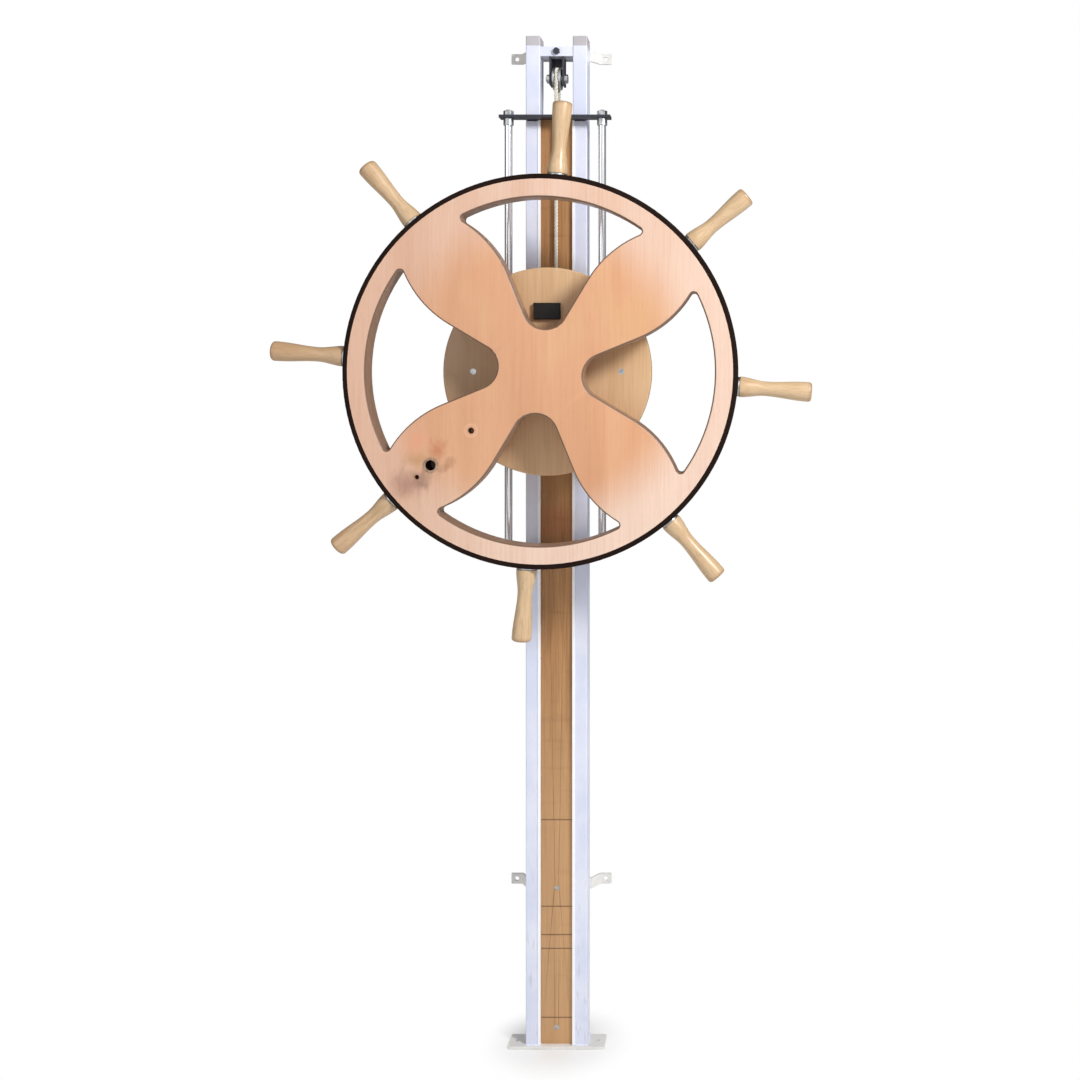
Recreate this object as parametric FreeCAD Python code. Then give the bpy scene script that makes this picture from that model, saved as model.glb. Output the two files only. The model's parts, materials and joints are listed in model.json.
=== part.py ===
import FreeCAD, Part
import math
import os

Vector = FreeCAD.Vector
X_AXIS = Vector(1, 0, 0)
Y_AXIS = Vector(0, 1, 0)
Z_AXIS = Vector(0, 0, 1)

# Wall shoulder wheel for arm and shoulder exercise, in millimetres.
# X runs to the right, Y towards the wall and Z up. Heights are measured from the
# floor and depths from the wall plane while building; the finished pieces are then
# moved so that the origin is between the two screw holes of the top wall bracket.

# Rails and what holds them
RAIL_WIDTH = 30.0
RAIL_DEPTH = 50.0
RAIL_WALL = 2.0
RAIL_GAP = 68.0
RAIL_TOP = 2090.0
RAIL_CORNER = 2.5
WALL_STANDOFF = 30.0
CAP_HEAD = 20.0
CAP_PLUG = 18.0
CAP_EDGE = 1.5
FOOT_WIDTH = 200.0
FOOT_DEPTH = 52.0
FOOT_THICKNESS = 6.0
FOOT_CORNER = 4.0
FOOT_FRONT_OVERHANG = 6.0
FOOT_HOLE_SPACING = 170.0
FOOT_HOLE_RADIUS = 4.5
BRACKET_HEIGHT = 22.0
BRACKET_THICKNESS = 5.0
BRACKET_LENGTH = 214.0
BRACKET_EAR = 24.0
BRACKET_LEG_RUN = 16.0
BRACKET_HOLE_SPACING = 190.0
BRACKET_HOLE_RADIUS = 4.5
MIDDLE_BRACKET_HEIGHT = 324.0
TOP_BRACKET_DROP = 11.0
CROSS_TUBE_HEIGHT = 20.0
CROSS_TUBE_DEPTH = 30.0
CROSS_TUBE_DROP = 2.0
CROSS_TUBE_SETBACK = 2.0

# Backboard between the rails
BOARD_THICKNESS = 12.0
BOARD_SIDE_GAP = 1.0
BOARD_SETBACK = 6.0
BOARD_TOP_DROP = 152.0
MIDDLE_CLEAT_LEVEL = 331.0
CLEAT_HEIGHT = 20.0
CLEAT_THICKNESS = 6.0
TOP_CLEAT_DROP = 16.0
BOTTOM_CLEAT_RISE = 34.0
BOARD_SCREW_RADIUS = 2.5
BOARD_SCREW_HEAD_RADIUS = 5.0
TRIM_WIDTH = 6.0
TRIM_THICKNESS = 1.5

# Guide rods in front of the rails
ROD_RADIUS = 8.0
ROD_SPACING = 194.0
ROD_THREAD_RADIUS = 6.0
ROD_THREAD_LENGTH = 18.0
UPPER_PLATE_DROP = 156.0
LOWER_PLATE_HEIGHT = 1034.0
ROD_PLATE_WIDTH = 230.0
ROD_PLATE_DEPTH = 30.0
ROD_PLATE_THICKNESS = 6.0
ROD_NUT_ACROSS_FLATS = 19.0
ROD_NUT_THICKNESS = 10.0
BUMPER_RADIUS = 10.5
BUMPER_HEIGHT = 14.0
CORD_NOTCH = 16.0

# Lifting cord and the pulley at the top
CORD_RADIUS = 4.0
CORD_TURN_RADIUS = 20.0
CORD_BOARD_GAP = 6.0
CORD_SHEAVE_GAP = 0.3
PULLEY_DROP = 67.0
SHEAVE_RADIUS = 23.0
SHEAVE_WIDTH = 18.0
SHEAVE_HUB_RADIUS = 8.0
SHEAVE_HUB_WIDTH = 22.0
PULLEY_AXLE_RADIUS = 5.0
PULLEY_AXLE_CLEARANCE = 0.05
PULLEY_BOLT_HEAD = 6.5
PULLEY_BOLT_ACROSS_FLATS = 17.0
HANGER_THICKNESS = 4.0
HANGER_SIDE_GAP = 0.5
HANGER_MARGIN = 14.0
HANGER_BOLT_RADIUS = 4.0
HANGER_BOLT_ACROSS_FLATS = 13.0
HANGER_BOLT_HEAD = 5.5
HANGER_TOP_GAP = 1.0
HANGER_BOLT_END = 1.0
PULLEY_AXLE_END = 2.0
KNOT_RADIUS = 9.0
KNOT_FLAT = 7.2

# Counterweight behind the backboard
WEIGHT_WIDTH = 60.0
WEIGHT_THICKNESS = 24.0
WEIGHT_LENGTH = 820.0
WEIGHT_TOP = 1600.0
WEIGHT_KNOT_POCKET = 34.0
WEIGHT_KNOT_GAP = 1.0
WEIGHT_CORD_GAP = 0.5
WEIGHT_CORNER = 2.0

# Carriage that rides on the rods
WHEEL_AXIS_HEIGHT = 1410.0
BLOCK_WIDTH = 46.0
BLOCK_DEPTH = 38.0
BLOCK_HEIGHT = 50.0
BLOCK_OFFSET = 55.0
BLOCK_CORNER = 2.0
BUSH_RADIUS = 13.0
BUSH_CLEARANCE = 0.05
PLATE_THICKNESS = 8.0
PLATE_BELOW = 90.0
PLATE_ABOVE = 142.0
PLATE_CORNER = 14.0
PLATE_MARGIN = 2.0
HOUSING_RADIUS = 32.0
HOUSING_LENGTH = 82.0
HOUSING_BORE = 20.0
BEARING_RADIUS = 23.5
BEARING_WIDTH = 14.0
BEARING_CLEARANCE = 0.03
BEARING_RACE = 4.0
BEARING_GROOVE = 1.0
CIRCLIP_THICKNESS = 1.75
CIRCLIP_SETBACK = 1.0
CIRCLIP_BAND = 3.5
CIRCLIP_GAP = 8.0
AXLE_RADIUS = 10.0
DISC_RADIUS = 207.0
DISC_THICKNESS = 25.0
DISC_EDGE = 3.0
DISC_HOUSING_PROUD = 4.0
DISC_HOLE_GAP = 1.0
DISC_SCREW_OFFSET = 147.0
DISC_SCREW_RADIUS = 3.0
DISC_SCREW_HEAD_RADIUS = 6.0
STRAP_LENGTH = 330.0
STRAP_HEIGHT = 40.0
STRAP_THICKNESS = 6.0
STRAP_RING = 10.0
STRAP_END_FLAT = 2.0
ARM_WIDTH = 52.0
ARM_HEIGHT = 32.0
ARM_WALL = 2.0
ARM_OFFSET = 120.0
ARM_PROUD = 6.0
ARM_SLOT_GAP = 0.6
ARM_PLUG_PROUD = 3.0
ARM_PLUG_DEPTH = 20.0
ARM_PLUG_EDGE = 1.2
ANCHOR_WIDTH = 32.0
ANCHOR_THICKNESS = 6.0
ANCHOR_HEIGHT = 80.0
ANCHOR_LEAF = 36.0
ANCHOR_BOLT_SPACING = 16.0
ANCHOR_BOLT_RADIUS = 3.0
ANCHOR_BOLT_ACROSS_FLATS = 10.0
ANCHOR_BOLT_HEAD = 4.0
ANCHOR_LIP = 2.0
LOCK_STUD_RADIUS = 4.0
LOCK_STUD_CLEARANCE = 0.05
LOCK_KNOB_RADIUS = 20.0
LOCK_KNOB_LENGTH = 22.0
LOCK_KNOB_GAP = 5.0
LOCK_ROD_GAP = 0.5
LOCK_LOBES = 6
LOCK_LOBE_CUT = 7.0
LOCK_KNOB_EDGE = 3.0

# Wheel
WHEEL_TURN = 4.4
WHEEL_RADIUS = 380.0
BAND_THICKNESS = 10.0
BAND_EDGE = 4.0
WHEEL_THICKNESS = 50.0
WHEEL_FRONT_DEPTH = 300.0
WINDOWS = 4
RIM_WIDTH = 45.0
NOSE_REACH = 82.0
NOSE_RADIUS = 43.0
FLANK_ANGLE = 26.5
FLANK_LENGTH = 86.0
LEAF_RADIUS = 210.0
WINDOW_CORNER = 7.0
WINDOW_EDGE = 4.0
HANDLES = 8
HANDLE_LENGTH = 140.0
HANDLE_BASE_RADIUS = 20.0
HANDLE_WAIST_RADIUS = 14.0
HANDLE_TIP_RADIUS = 19.0
HANDLE_WAIST_SHARE = 0.36
HANDLE_TIP_EDGE = 5.0
WASHER_THICKNESS = 3.0
WASHER_RADIUS = 19.0
STUD_RADIUS = 4.0
STUD_IN_RIM = 24.0
STUD_IN_HANDLE = 50.0
PEG_HOLE_RIM_GAP = 59.0
PEG_BORE_RADIUS = 10.0
PEG_BUSH_RADIUS = 12.5
PEG_FLANGE_RADIUS = 14.5
PEG_FLANGE = 1.2
PEG_FLOOR = 6.0
INNER_HOLE_REACH = 174.0
INNER_HOLE_RADIUS = 6.0
OUTER_HOLE_RIM_GAP = 24.0
OUTER_HOLE_RADIUS = 4.5
SMALL_HOLE_DEPTH = 22.0
HUB_RADIUS = 70.0
HUB_THICKNESS = 10.0
HUB_SCREWS = 6
HUB_SCREW_CIRCLE = 55.0
HUB_SCREW_RADIUS = 4.0
HUB_SCREW_LENGTH = 32.0
HUB_SCREW_HEAD = 5.5
HUB_SCREW_HEAD_RADIUS = 6.5
COLLAR_RADIUS = 14.0
COLLAR_GAP = 0.3
AXLE_NUT_ACROSS_FLATS = 30.0
AXLE_NUT_THICKNESS = 12.0
AXLE_WASHER_RADIUS = 18.0
AXLE_WASHER_THICKNESS = 3.0
AXLE_SPACER_PROUD = 2.0
AXLE_END_PROUD = 2.0

# Heights that follow the top of the rails
TOP_BRACKET_HEIGHT = RAIL_TOP - TOP_BRACKET_DROP
BOARD_TOP = RAIL_TOP - BOARD_TOP_DROP
UPPER_PLATE_HEIGHT = RAIL_TOP - UPPER_PLATE_DROP
PULLEY_HEIGHT = RAIL_TOP - PULLEY_DROP

# Reaches on the wheel that follow its rim
WINDOW_RADIUS = WHEEL_RADIUS - RIM_WIDTH
PEG_HOLE_REACH = WINDOW_RADIUS - PEG_HOLE_RIM_GAP
SMALL_HOLES = [
    (INNER_HOLE_REACH, INNER_HOLE_RADIUS),
    (WINDOW_RADIUS - OUTER_HOLE_RIM_GAP, OUTER_HOLE_RADIUS),
]

# Depths worked out from the values above; the wall is at zero and the front is negative
RAIL_BACK = -WALL_STANDOFF
RAIL_FRONT = RAIL_BACK - RAIL_DEPTH
RAIL_CENTRE = RAIL_GAP / 2 + RAIL_WIDTH / 2
RAIL_OUTSIDE = RAIL_GAP / 2 + RAIL_WIDTH
BOARD_FRONT = RAIL_FRONT + BOARD_SETBACK
BOARD_BACK = BOARD_FRONT + BOARD_THICKNESS
ROD_DEPTH = RAIL_FRONT - ROD_PLATE_DEPTH / 2
CORD_FRONT = BOARD_FRONT - CORD_BOARD_GAP - CORD_RADIUS
PULLEY_DEPTH = CORD_FRONT + CORD_TURN_RADIUS
CORD_BACK = PULLEY_DEPTH + CORD_TURN_RADIUS
PLATE_BACK = ROD_DEPTH - BLOCK_DEPTH / 2
PLATE_FRONT = PLATE_BACK - PLATE_THICKNESS
HOUSING_FRONT = PLATE_FRONT - HOUSING_LENGTH
DISC_FRONT = HOUSING_FRONT - DISC_HOUSING_PROUD
DISC_BACK = DISC_FRONT + DISC_THICKNESS
ARM_FRONT = DISC_FRONT - ARM_PROUD
WHEEL_FRONT = -WHEEL_FRONT_DEPTH
WHEEL_BACK = WHEEL_FRONT + WHEEL_THICKNESS
WHEEL_MIDDLE = WHEEL_FRONT + WHEEL_THICKNESS / 2
HUB_BACK = WHEEL_BACK + HUB_THICKNESS
BOARD_RADIUS = WHEEL_RADIUS - BAND_THICKNESS
HANDLE_BASE = WHEEL_RADIUS + WASHER_THICKNESS
CROSS_TUBE_TOP = RAIL_TOP - CROSS_TUBE_DROP
CROSS_TUBE_BOTTOM = CROSS_TUBE_TOP - CROSS_TUBE_HEIGHT
CROSS_TUBE_FRONT = RAIL_FRONT + CROSS_TUBE_SETBACK
CROSS_TUBE_BACK = CROSS_TUBE_FRONT + CROSS_TUBE_DEPTH
UPPER_PLATE_TOP = UPPER_PLATE_HEIGHT + ROD_PLATE_THICKNESS
LOWER_PLATE_TOP = LOWER_PLATE_HEIGHT + ROD_PLATE_THICKNESS
ANCHOR_TOP = WHEEL_AXIS_HEIGHT + ANCHOR_HEIGHT
FRONT_BEARING_BACK = HOUSING_FRONT + CIRCLIP_SETBACK + CIRCLIP_THICKNESS + BEARING_WIDTH
REAR_BEARING_FRONT = PLATE_FRONT - BEARING_WIDTH
ORIGIN = Vector(0, 0, TOP_BRACKET_HEIGHT)

nodes = {}


def add(name, shape):
    if name in nodes:
        raise ValueError("two pieces share the name " + name)
    nodes[name] = shape


def box(x_range, y_range, z_range):
    low = Vector(x_range[0], y_range[0], z_range[0])
    size = [span[1] - span[0] for span in (x_range, y_range, z_range)]
    return Part.makeBox(size[0], size[1], size[2], low)


def cylinder(start, axis, radius, length):
    return Part.makeCylinder(radius, length, start, axis)


def tube(start, axis, outer, inner, length):
    return cylinder(start, axis, outer, length).cut(cylinder(start, axis, inner, length))


def hexagon(start, axis, across_flats, length):
    corner = across_flats / math.sqrt(3)
    side = Z_AXIS if abs(axis.z) < 0.5 else X_AXIS
    across = axis.cross(side)
    points = []
    for step in range(7):
        angle = math.radians(60 * step)
        points.append(start + side * (corner * math.cos(angle)) + across * (corner * math.sin(angle)))
    return Part.Face(Part.makePolygon(points)).extrude(axis * length)


def nut(start, axis, across_flats, length, bore):
    return hexagon(start, axis, across_flats, length).cut(cylinder(start, axis, bore, length))


def bolt(start, axis, radius, length, across_flats, head):
    # The head lies behind the start point and the shank runs along the axis.
    shank = cylinder(start, axis, radius, length)
    return shank.fuse(hexagon(start - axis * head, axis, across_flats, head))


def countersunk(start, axis, radius, head_radius, length):
    head = Part.makeCone(head_radius, radius, head_radius - radius, start, axis)
    return head.fuse(cylinder(start, axis, radius, length))


def edges_along(shape, axis):
    found = []
    for edge in shape.Edges:
        straight = isinstance(edge.Curve, (Part.Line, Part.LineSegment))
        if straight and abs(edge.tangentAt(edge.FirstParameter).dot(axis)) > 0.999:
            found.append(edge)
    return found


def strip(points, thickness, z_range):
    # A flat bar bent along the points, each corner mitred.
    half = thickness / 2
    count = len(points)
    sides = []
    for sign in (1, -1):
        side = []
        for index in range(count):
            before = points[max(index - 1, 0)]
            here = points[index]
            after = points[min(index + 1, count - 1)]
            normals = []
            for first, second in ((before, here), (here, after)):
                run = second - first
                if run.Length > 0:
                    run.normalize()
                    normals.append(Vector(-run.y, run.x, 0))
            mitre = normals[0] + normals[-1]
            mitre.normalize()
            reach = half / mitre.dot(normals[0])
            place = here + mitre * (sign * reach)
            side.append(Vector(place.x, place.y, z_range[0]))
        sides.append(side)
    outline = sides[0] + sides[1][::-1]
    face = Part.Face(Part.makePolygon(outline + [outline[0]]))
    return face.extrude(Vector(0, 0, z_range[1] - z_range[0]))


def group(shapes):
    return Part.makeCompound(shapes)


# Point on the wheel at a reach from the axle along an angle, with a sideways offset
def wheel_point(angle, reach, sideways, depth):
    along = math.radians(angle)
    x = reach * math.cos(along) - sideways * math.sin(along)
    z = reach * math.sin(along) + sideways * math.cos(along)
    return Vector(x, depth, WHEEL_AXIS_HEIGHT + z)


def wheel_direction(angle):
    along = math.radians(angle)
    return Vector(math.cos(along), 0, math.sin(along))


# Rails, caps, foot plate and wall brackets
def build_rail(side):
    outside = side * RAIL_OUTSIDE
    inside = side * RAIL_GAP / 2
    span = (min(inside, outside), max(inside, outside))
    skin = box(span, (RAIL_FRONT, RAIL_BACK), (FOOT_THICKNESS, RAIL_TOP))
    skin = skin.makeFillet(RAIL_CORNER, edges_along(skin, Z_AXIS))
    hollow_x = (span[0] + RAIL_WALL, span[1] - RAIL_WALL)
    hollow_y = (RAIL_FRONT + RAIL_WALL, RAIL_BACK - RAIL_WALL)
    return skin.cut(box(hollow_x, hollow_y, (FOOT_THICKNESS, RAIL_TOP)))


def build_cap(side):
    # A plastic end plug: a head as wide as the rail over a stub pushed down inside it.
    centre = side * RAIL_CENTRE
    half_width = RAIL_WIDTH / 2
    head_z = (RAIL_TOP, RAIL_TOP + CAP_HEAD)
    head = box((centre - half_width, centre + half_width), (RAIL_FRONT, RAIL_BACK), head_z)
    head = head.makeFillet(RAIL_CORNER, edges_along(head, Z_AXIS))
    top_edges = [edge for edge in head.Edges if edge.BoundBox.ZMin > head_z[1] - 0.01]
    head = head.makeFillet(CAP_EDGE, top_edges)
    stub_x = (centre - half_width + RAIL_WALL, centre + half_width - RAIL_WALL)
    stub_y = (RAIL_FRONT + RAIL_WALL, RAIL_BACK - RAIL_WALL)
    return head.fuse(box(stub_x, stub_y, (RAIL_TOP - CAP_PLUG, RAIL_TOP)))


def build_foot():
    y_range = (RAIL_FRONT - FOOT_FRONT_OVERHANG, RAIL_FRONT - FOOT_FRONT_OVERHANG + FOOT_DEPTH)
    plate = box((-FOOT_WIDTH / 2, FOOT_WIDTH / 2), y_range, (0, FOOT_THICKNESS))
    plate = plate.makeFillet(FOOT_CORNER, edges_along(plate, Z_AXIS))
    middle = (y_range[0] + y_range[1]) / 2
    for side in (-1, 1):
        start = Vector(side * FOOT_HOLE_SPACING / 2, middle, 0)
        plate = plate.cut(cylinder(start, Z_AXIS, FOOT_HOLE_RADIUS, FOOT_THICKNESS))
    return plate


def build_wall_bracket(height):
    web = RAIL_BACK + BRACKET_THICKNESS / 2
    wall = -BRACKET_THICKNESS / 2
    end = BRACKET_LENGTH / 2
    knee = end - BRACKET_EAR
    points = [
        Vector(-end, wall, 0),
        Vector(-knee, wall, 0),
        Vector(-knee + BRACKET_LEG_RUN, web, 0),
        Vector(knee - BRACKET_LEG_RUN, web, 0),
        Vector(knee, wall, 0),
        Vector(end, wall, 0),
    ]
    z_range = (height - BRACKET_HEIGHT / 2, height + BRACKET_HEIGHT / 2)
    bracket = strip(points, BRACKET_THICKNESS, z_range)
    for side in (-1, 1):
        start = Vector(side * BRACKET_HOLE_SPACING / 2, -BRACKET_THICKNESS * 2, height)
        bracket = bracket.cut(cylinder(start, Y_AXIS, BRACKET_HOLE_RADIUS, BRACKET_THICKNESS * 3))
    return bracket


def build_cross_tube():
    half = RAIL_GAP / 2
    y_range = (CROSS_TUBE_FRONT, CROSS_TUBE_BACK)
    outer = box((-half, half), y_range, (CROSS_TUBE_BOTTOM, CROSS_TUBE_TOP))
    inner_y = (CROSS_TUBE_FRONT + RAIL_WALL, CROSS_TUBE_BACK - RAIL_WALL)
    inner_z = (CROSS_TUBE_BOTTOM + RAIL_WALL, CROSS_TUBE_TOP - RAIL_WALL)
    crossbar = outer.cut(box((-half, half), inner_y, inner_z))
    middle = (CROSS_TUBE_TOP + CROSS_TUBE_BOTTOM) / 2
    start = Vector(0, CROSS_TUBE_FRONT, middle)
    return crossbar.cut(cylinder(start, Y_AXIS, HANGER_BOLT_RADIUS, CROSS_TUBE_DEPTH))


add("left_rail", build_rail(-1))
add("right_rail", build_rail(1))
add("rail_caps", group([build_cap(-1), build_cap(1)]))
add("foot_plate", build_foot())
add("middle_wall_bracket", build_wall_bracket(MIDDLE_BRACKET_HEIGHT))
add("top_wall_bracket", build_wall_bracket(TOP_BRACKET_HEIGHT))
add("top_cross_tube", build_cross_tube())

# Backboard with its cleats, screws and edge trims
BOARD_HALF = RAIL_GAP / 2 - BOARD_SIDE_GAP
CLEAT_HEIGHTS = [
    FOOT_THICKNESS + BOTTOM_CLEAT_RISE,
    MIDDLE_CLEAT_LEVEL,
    BOARD_TOP - TOP_CLEAT_DROP,
]


def build_board():
    board = box((-BOARD_HALF, BOARD_HALF), (BOARD_FRONT, BOARD_BACK), (FOOT_THICKNESS, BOARD_TOP))
    for height in CLEAT_HEIGHTS:
        board = board.cut(board_screw(height))
    return board


def board_screw(height):
    start = Vector(0, BOARD_FRONT, height)
    length = BOARD_THICKNESS + CLEAT_THICKNESS
    return countersunk(start, Y_AXIS, BOARD_SCREW_RADIUS, BOARD_SCREW_HEAD_RADIUS, length)


def build_cleat(height):
    z_range = (height - CLEAT_HEIGHT / 2, height + CLEAT_HEIGHT / 2)
    y_range = (BOARD_BACK, BOARD_BACK + CLEAT_THICKNESS)
    cleat = box((-RAIL_GAP / 2, RAIL_GAP / 2), y_range, z_range)
    start = Vector(0, BOARD_BACK, height)
    return cleat.cut(cylinder(start, Y_AXIS, BOARD_SCREW_RADIUS, CLEAT_THICKNESS))


def build_trim(side):
    # An angle strip: one leaf on the rail's face, the other down its side to the board.
    edge = side * RAIL_GAP / 2
    over = edge + side * (TRIM_WIDTH - BOARD_SIDE_GAP)
    inner = edge - side * BOARD_SIDE_GAP
    z_range = (FOOT_THICKNESS, UPPER_PLATE_HEIGHT)
    face_x = (min(over, inner), max(over, inner))
    leaf_x = (min(edge, inner), max(edge, inner))
    face_leaf = box(face_x, (RAIL_FRONT - TRIM_THICKNESS, RAIL_FRONT), z_range)
    side_leaf = box(leaf_x, (RAIL_FRONT, BOARD_FRONT), z_range)
    trim = face_leaf.fuse(side_leaf).removeSplitter()
    face_y = (RAIL_FRONT - TRIM_THICKNESS, RAIL_FRONT)
    return trim.cut(box(face_x, face_y, (LOWER_PLATE_HEIGHT, LOWER_PLATE_TOP)))


add("backboard", build_board())
add("board_cleats", group([build_cleat(height) for height in CLEAT_HEIGHTS]))
add("board_screws", group([board_screw(height) for height in CLEAT_HEIGHTS]))
add("board_trims", group([build_trim(-1), build_trim(1)]))

# Guide rods, the two bars that carry them, nuts and stop collars
ROD_X = ROD_SPACING / 2


def build_rod_plate(bottom, notched):
    half = ROD_PLATE_WIDTH / 2
    y_range = (RAIL_FRONT - ROD_PLATE_DEPTH, RAIL_FRONT)
    plate = box((-half, half), y_range, (bottom, bottom + ROD_PLATE_THICKNESS))
    for side in (-1, 1):
        start = Vector(side * ROD_X, ROD_DEPTH, bottom)
        plate = plate.cut(cylinder(start, Z_AXIS, ROD_THREAD_RADIUS, ROD_PLATE_THICKNESS))
    if notched:
        depth = RAIL_FRONT - CORD_FRONT + CORD_NOTCH / 2
        notch_y = (RAIL_FRONT - depth, RAIL_FRONT)
        notch = box((-CORD_NOTCH / 2, CORD_NOTCH / 2), notch_y, (bottom, bottom + ROD_PLATE_THICKNESS))
        plate = plate.cut(notch)
    return plate


def build_rod(side):
    length = UPPER_PLATE_HEIGHT - LOWER_PLATE_TOP
    shank = cylinder(Vector(side * ROD_X, ROD_DEPTH, LOWER_PLATE_TOP), Z_AXIS, ROD_RADIUS, length)
    thread_start = Vector(side * ROD_X, ROD_DEPTH, LOWER_PLATE_TOP - ROD_THREAD_LENGTH)
    thread = cylinder(thread_start, Z_AXIS, ROD_THREAD_RADIUS, length + 2 * ROD_THREAD_LENGTH)
    return shank.fuse(thread).removeSplitter()


def build_rod_nuts():
    nuts = []
    for side in (-1, 1):
        for bottom in (UPPER_PLATE_TOP, LOWER_PLATE_HEIGHT - ROD_NUT_THICKNESS):
            start = Vector(side * ROD_X, ROD_DEPTH, bottom)
            nuts.append(nut(start, Z_AXIS, ROD_NUT_ACROSS_FLATS, ROD_NUT_THICKNESS, ROD_THREAD_RADIUS))
    return nuts


def build_bumpers():
    bumpers = []
    for side in (-1, 1):
        for bottom in (LOWER_PLATE_TOP, UPPER_PLATE_HEIGHT - BUMPER_HEIGHT):
            start = Vector(side * ROD_X, ROD_DEPTH, bottom)
            bumpers.append(tube(start, Z_AXIS, BUMPER_RADIUS, ROD_RADIUS, BUMPER_HEIGHT))
    return bumpers


add("upper_rod_plate", build_rod_plate(UPPER_PLATE_HEIGHT, True))
add("lower_rod_plate", build_rod_plate(LOWER_PLATE_HEIGHT, False))
add("left_guide_rod", build_rod(-1))
add("right_guide_rod", build_rod(1))
add("guide_rod_nuts", group(build_rod_nuts()))
add("rod_bumpers", group(build_bumpers()))

# Pulley, its hanger and the cord
HANGER_INSIDE = SHEAVE_HUB_WIDTH / 2 + HANGER_SIDE_GAP
HANGER_OUTSIDE = HANGER_INSIDE + HANGER_THICKNESS
SHEAVE_CENTRE = Vector(0, PULLEY_DEPTH, PULLEY_HEIGHT)


def build_hanger():
    cord_top = PULLEY_HEIGHT + CORD_TURN_RADIUS + CORD_RADIUS
    leaf_y = (CROSS_TUBE_BACK, CROSS_TUBE_BACK + HANGER_THICKNESS)
    leaf_z = (cord_top + HANGER_THICKNESS, CROSS_TUBE_TOP)
    hanger = box((-HANGER_OUTSIDE, HANGER_OUTSIDE), leaf_y, leaf_z)
    cheek_y = (PULLEY_DEPTH - HANGER_MARGIN, CROSS_TUBE_BACK + HANGER_THICKNESS)
    cheek_z = (PULLEY_HEIGHT - HANGER_MARGIN, CROSS_TUBE_BOTTOM - HANGER_TOP_GAP)
    for left in (-HANGER_OUTSIDE, HANGER_INSIDE):
        hanger = hanger.fuse(box((left, left + HANGER_THICKNESS), cheek_y, cheek_z))
    hanger = hanger.removeSplitter()
    start = SHEAVE_CENTRE - X_AXIS * HANGER_OUTSIDE
    hanger = hanger.cut(cylinder(start, X_AXIS, PULLEY_AXLE_RADIUS, 2 * HANGER_OUTSIDE))
    middle = (CROSS_TUBE_TOP + CROSS_TUBE_BOTTOM) / 2
    bolt_hole = cylinder(Vector(0, CROSS_TUBE_BACK, middle), Y_AXIS, HANGER_BOLT_RADIUS, HANGER_THICKNESS)
    return hanger.cut(bolt_hole)


def build_sheave():
    groove = CORD_RADIUS + CORD_SHEAVE_GAP
    half = SHEAVE_WIDTH / 2
    start = SHEAVE_CENTRE - X_AXIS * half
    sheave = cylinder(start, X_AXIS, SHEAVE_RADIUS, SHEAVE_WIDTH)
    hub_start = SHEAVE_CENTRE - X_AXIS * (SHEAVE_HUB_WIDTH / 2)
    sheave = sheave.fuse(cylinder(hub_start, X_AXIS, SHEAVE_HUB_RADIUS, SHEAVE_HUB_WIDTH))
    # The groove is the ring that a cord's section sweeps, opened to the rim.
    opening = SHEAVE_RADIUS + 1 - CORD_TURN_RADIUS
    slot_start = SHEAVE_CENTRE - X_AXIS * groove
    slot = tube(slot_start, X_AXIS, CORD_TURN_RADIUS + opening, CORD_TURN_RADIUS, 2 * groove)
    ring = Part.makeTorus(CORD_TURN_RADIUS, groove, SHEAVE_CENTRE, X_AXIS)
    sheave = sheave.cut(ring).cut(slot)
    bore = PULLEY_AXLE_RADIUS + PULLEY_AXLE_CLEARANCE
    return sheave.cut(cylinder(hub_start, X_AXIS, bore, SHEAVE_HUB_WIDTH))


def build_cord_over_pulley():
    front = Vector(0, CORD_FRONT, PULLEY_HEIGHT)
    top = Vector(0, PULLEY_DEPTH, PULLEY_HEIGHT + CORD_TURN_RADIUS)
    back = Vector(0, CORD_BACK, PULLEY_HEIGHT)
    path = Part.Wire([Part.Arc(front, top, back).toShape()])
    section = Part.Wire([Part.Circle(front, Z_AXIS, CORD_RADIUS).toShape()])
    return path.makePipeShell([section], True, False)


def knot(centre):
    # A stopper knot: a ball with its top and bottom pressed flat.
    ball = Part.makeSphere(KNOT_RADIUS, centre)
    room = box(
        (centre.x - KNOT_RADIUS, centre.x + KNOT_RADIUS),
        (centre.y - KNOT_RADIUS, centre.y + KNOT_RADIUS),
        (centre.z - KNOT_FLAT, centre.z + KNOT_FLAT),
    )
    return ball.common(room)


def build_front_knot():
    under = ANCHOR_TOP - ANCHOR_THICKNESS
    centre = Vector(0, CORD_FRONT, under - KNOT_FLAT)
    ball = knot(centre)
    stem = cylinder(centre, Z_AXIS, CORD_RADIUS, ANCHOR_THICKNESS + KNOT_FLAT)
    return ball.fuse(stem)


def build_rear_knot():
    floor = WEIGHT_TOP - WEIGHT_KNOT_POCKET
    centre = Vector(0, CORD_BACK, floor + KNOT_FLAT)
    ball = knot(centre)
    stem = cylinder(centre, Z_AXIS, CORD_RADIUS, WEIGHT_KNOT_POCKET - KNOT_FLAT)
    return ball.fuse(stem)


def cord_run(y, bottom, top):
    return cylinder(Vector(0, y, bottom), Z_AXIS, CORD_RADIUS, top - bottom)


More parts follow.
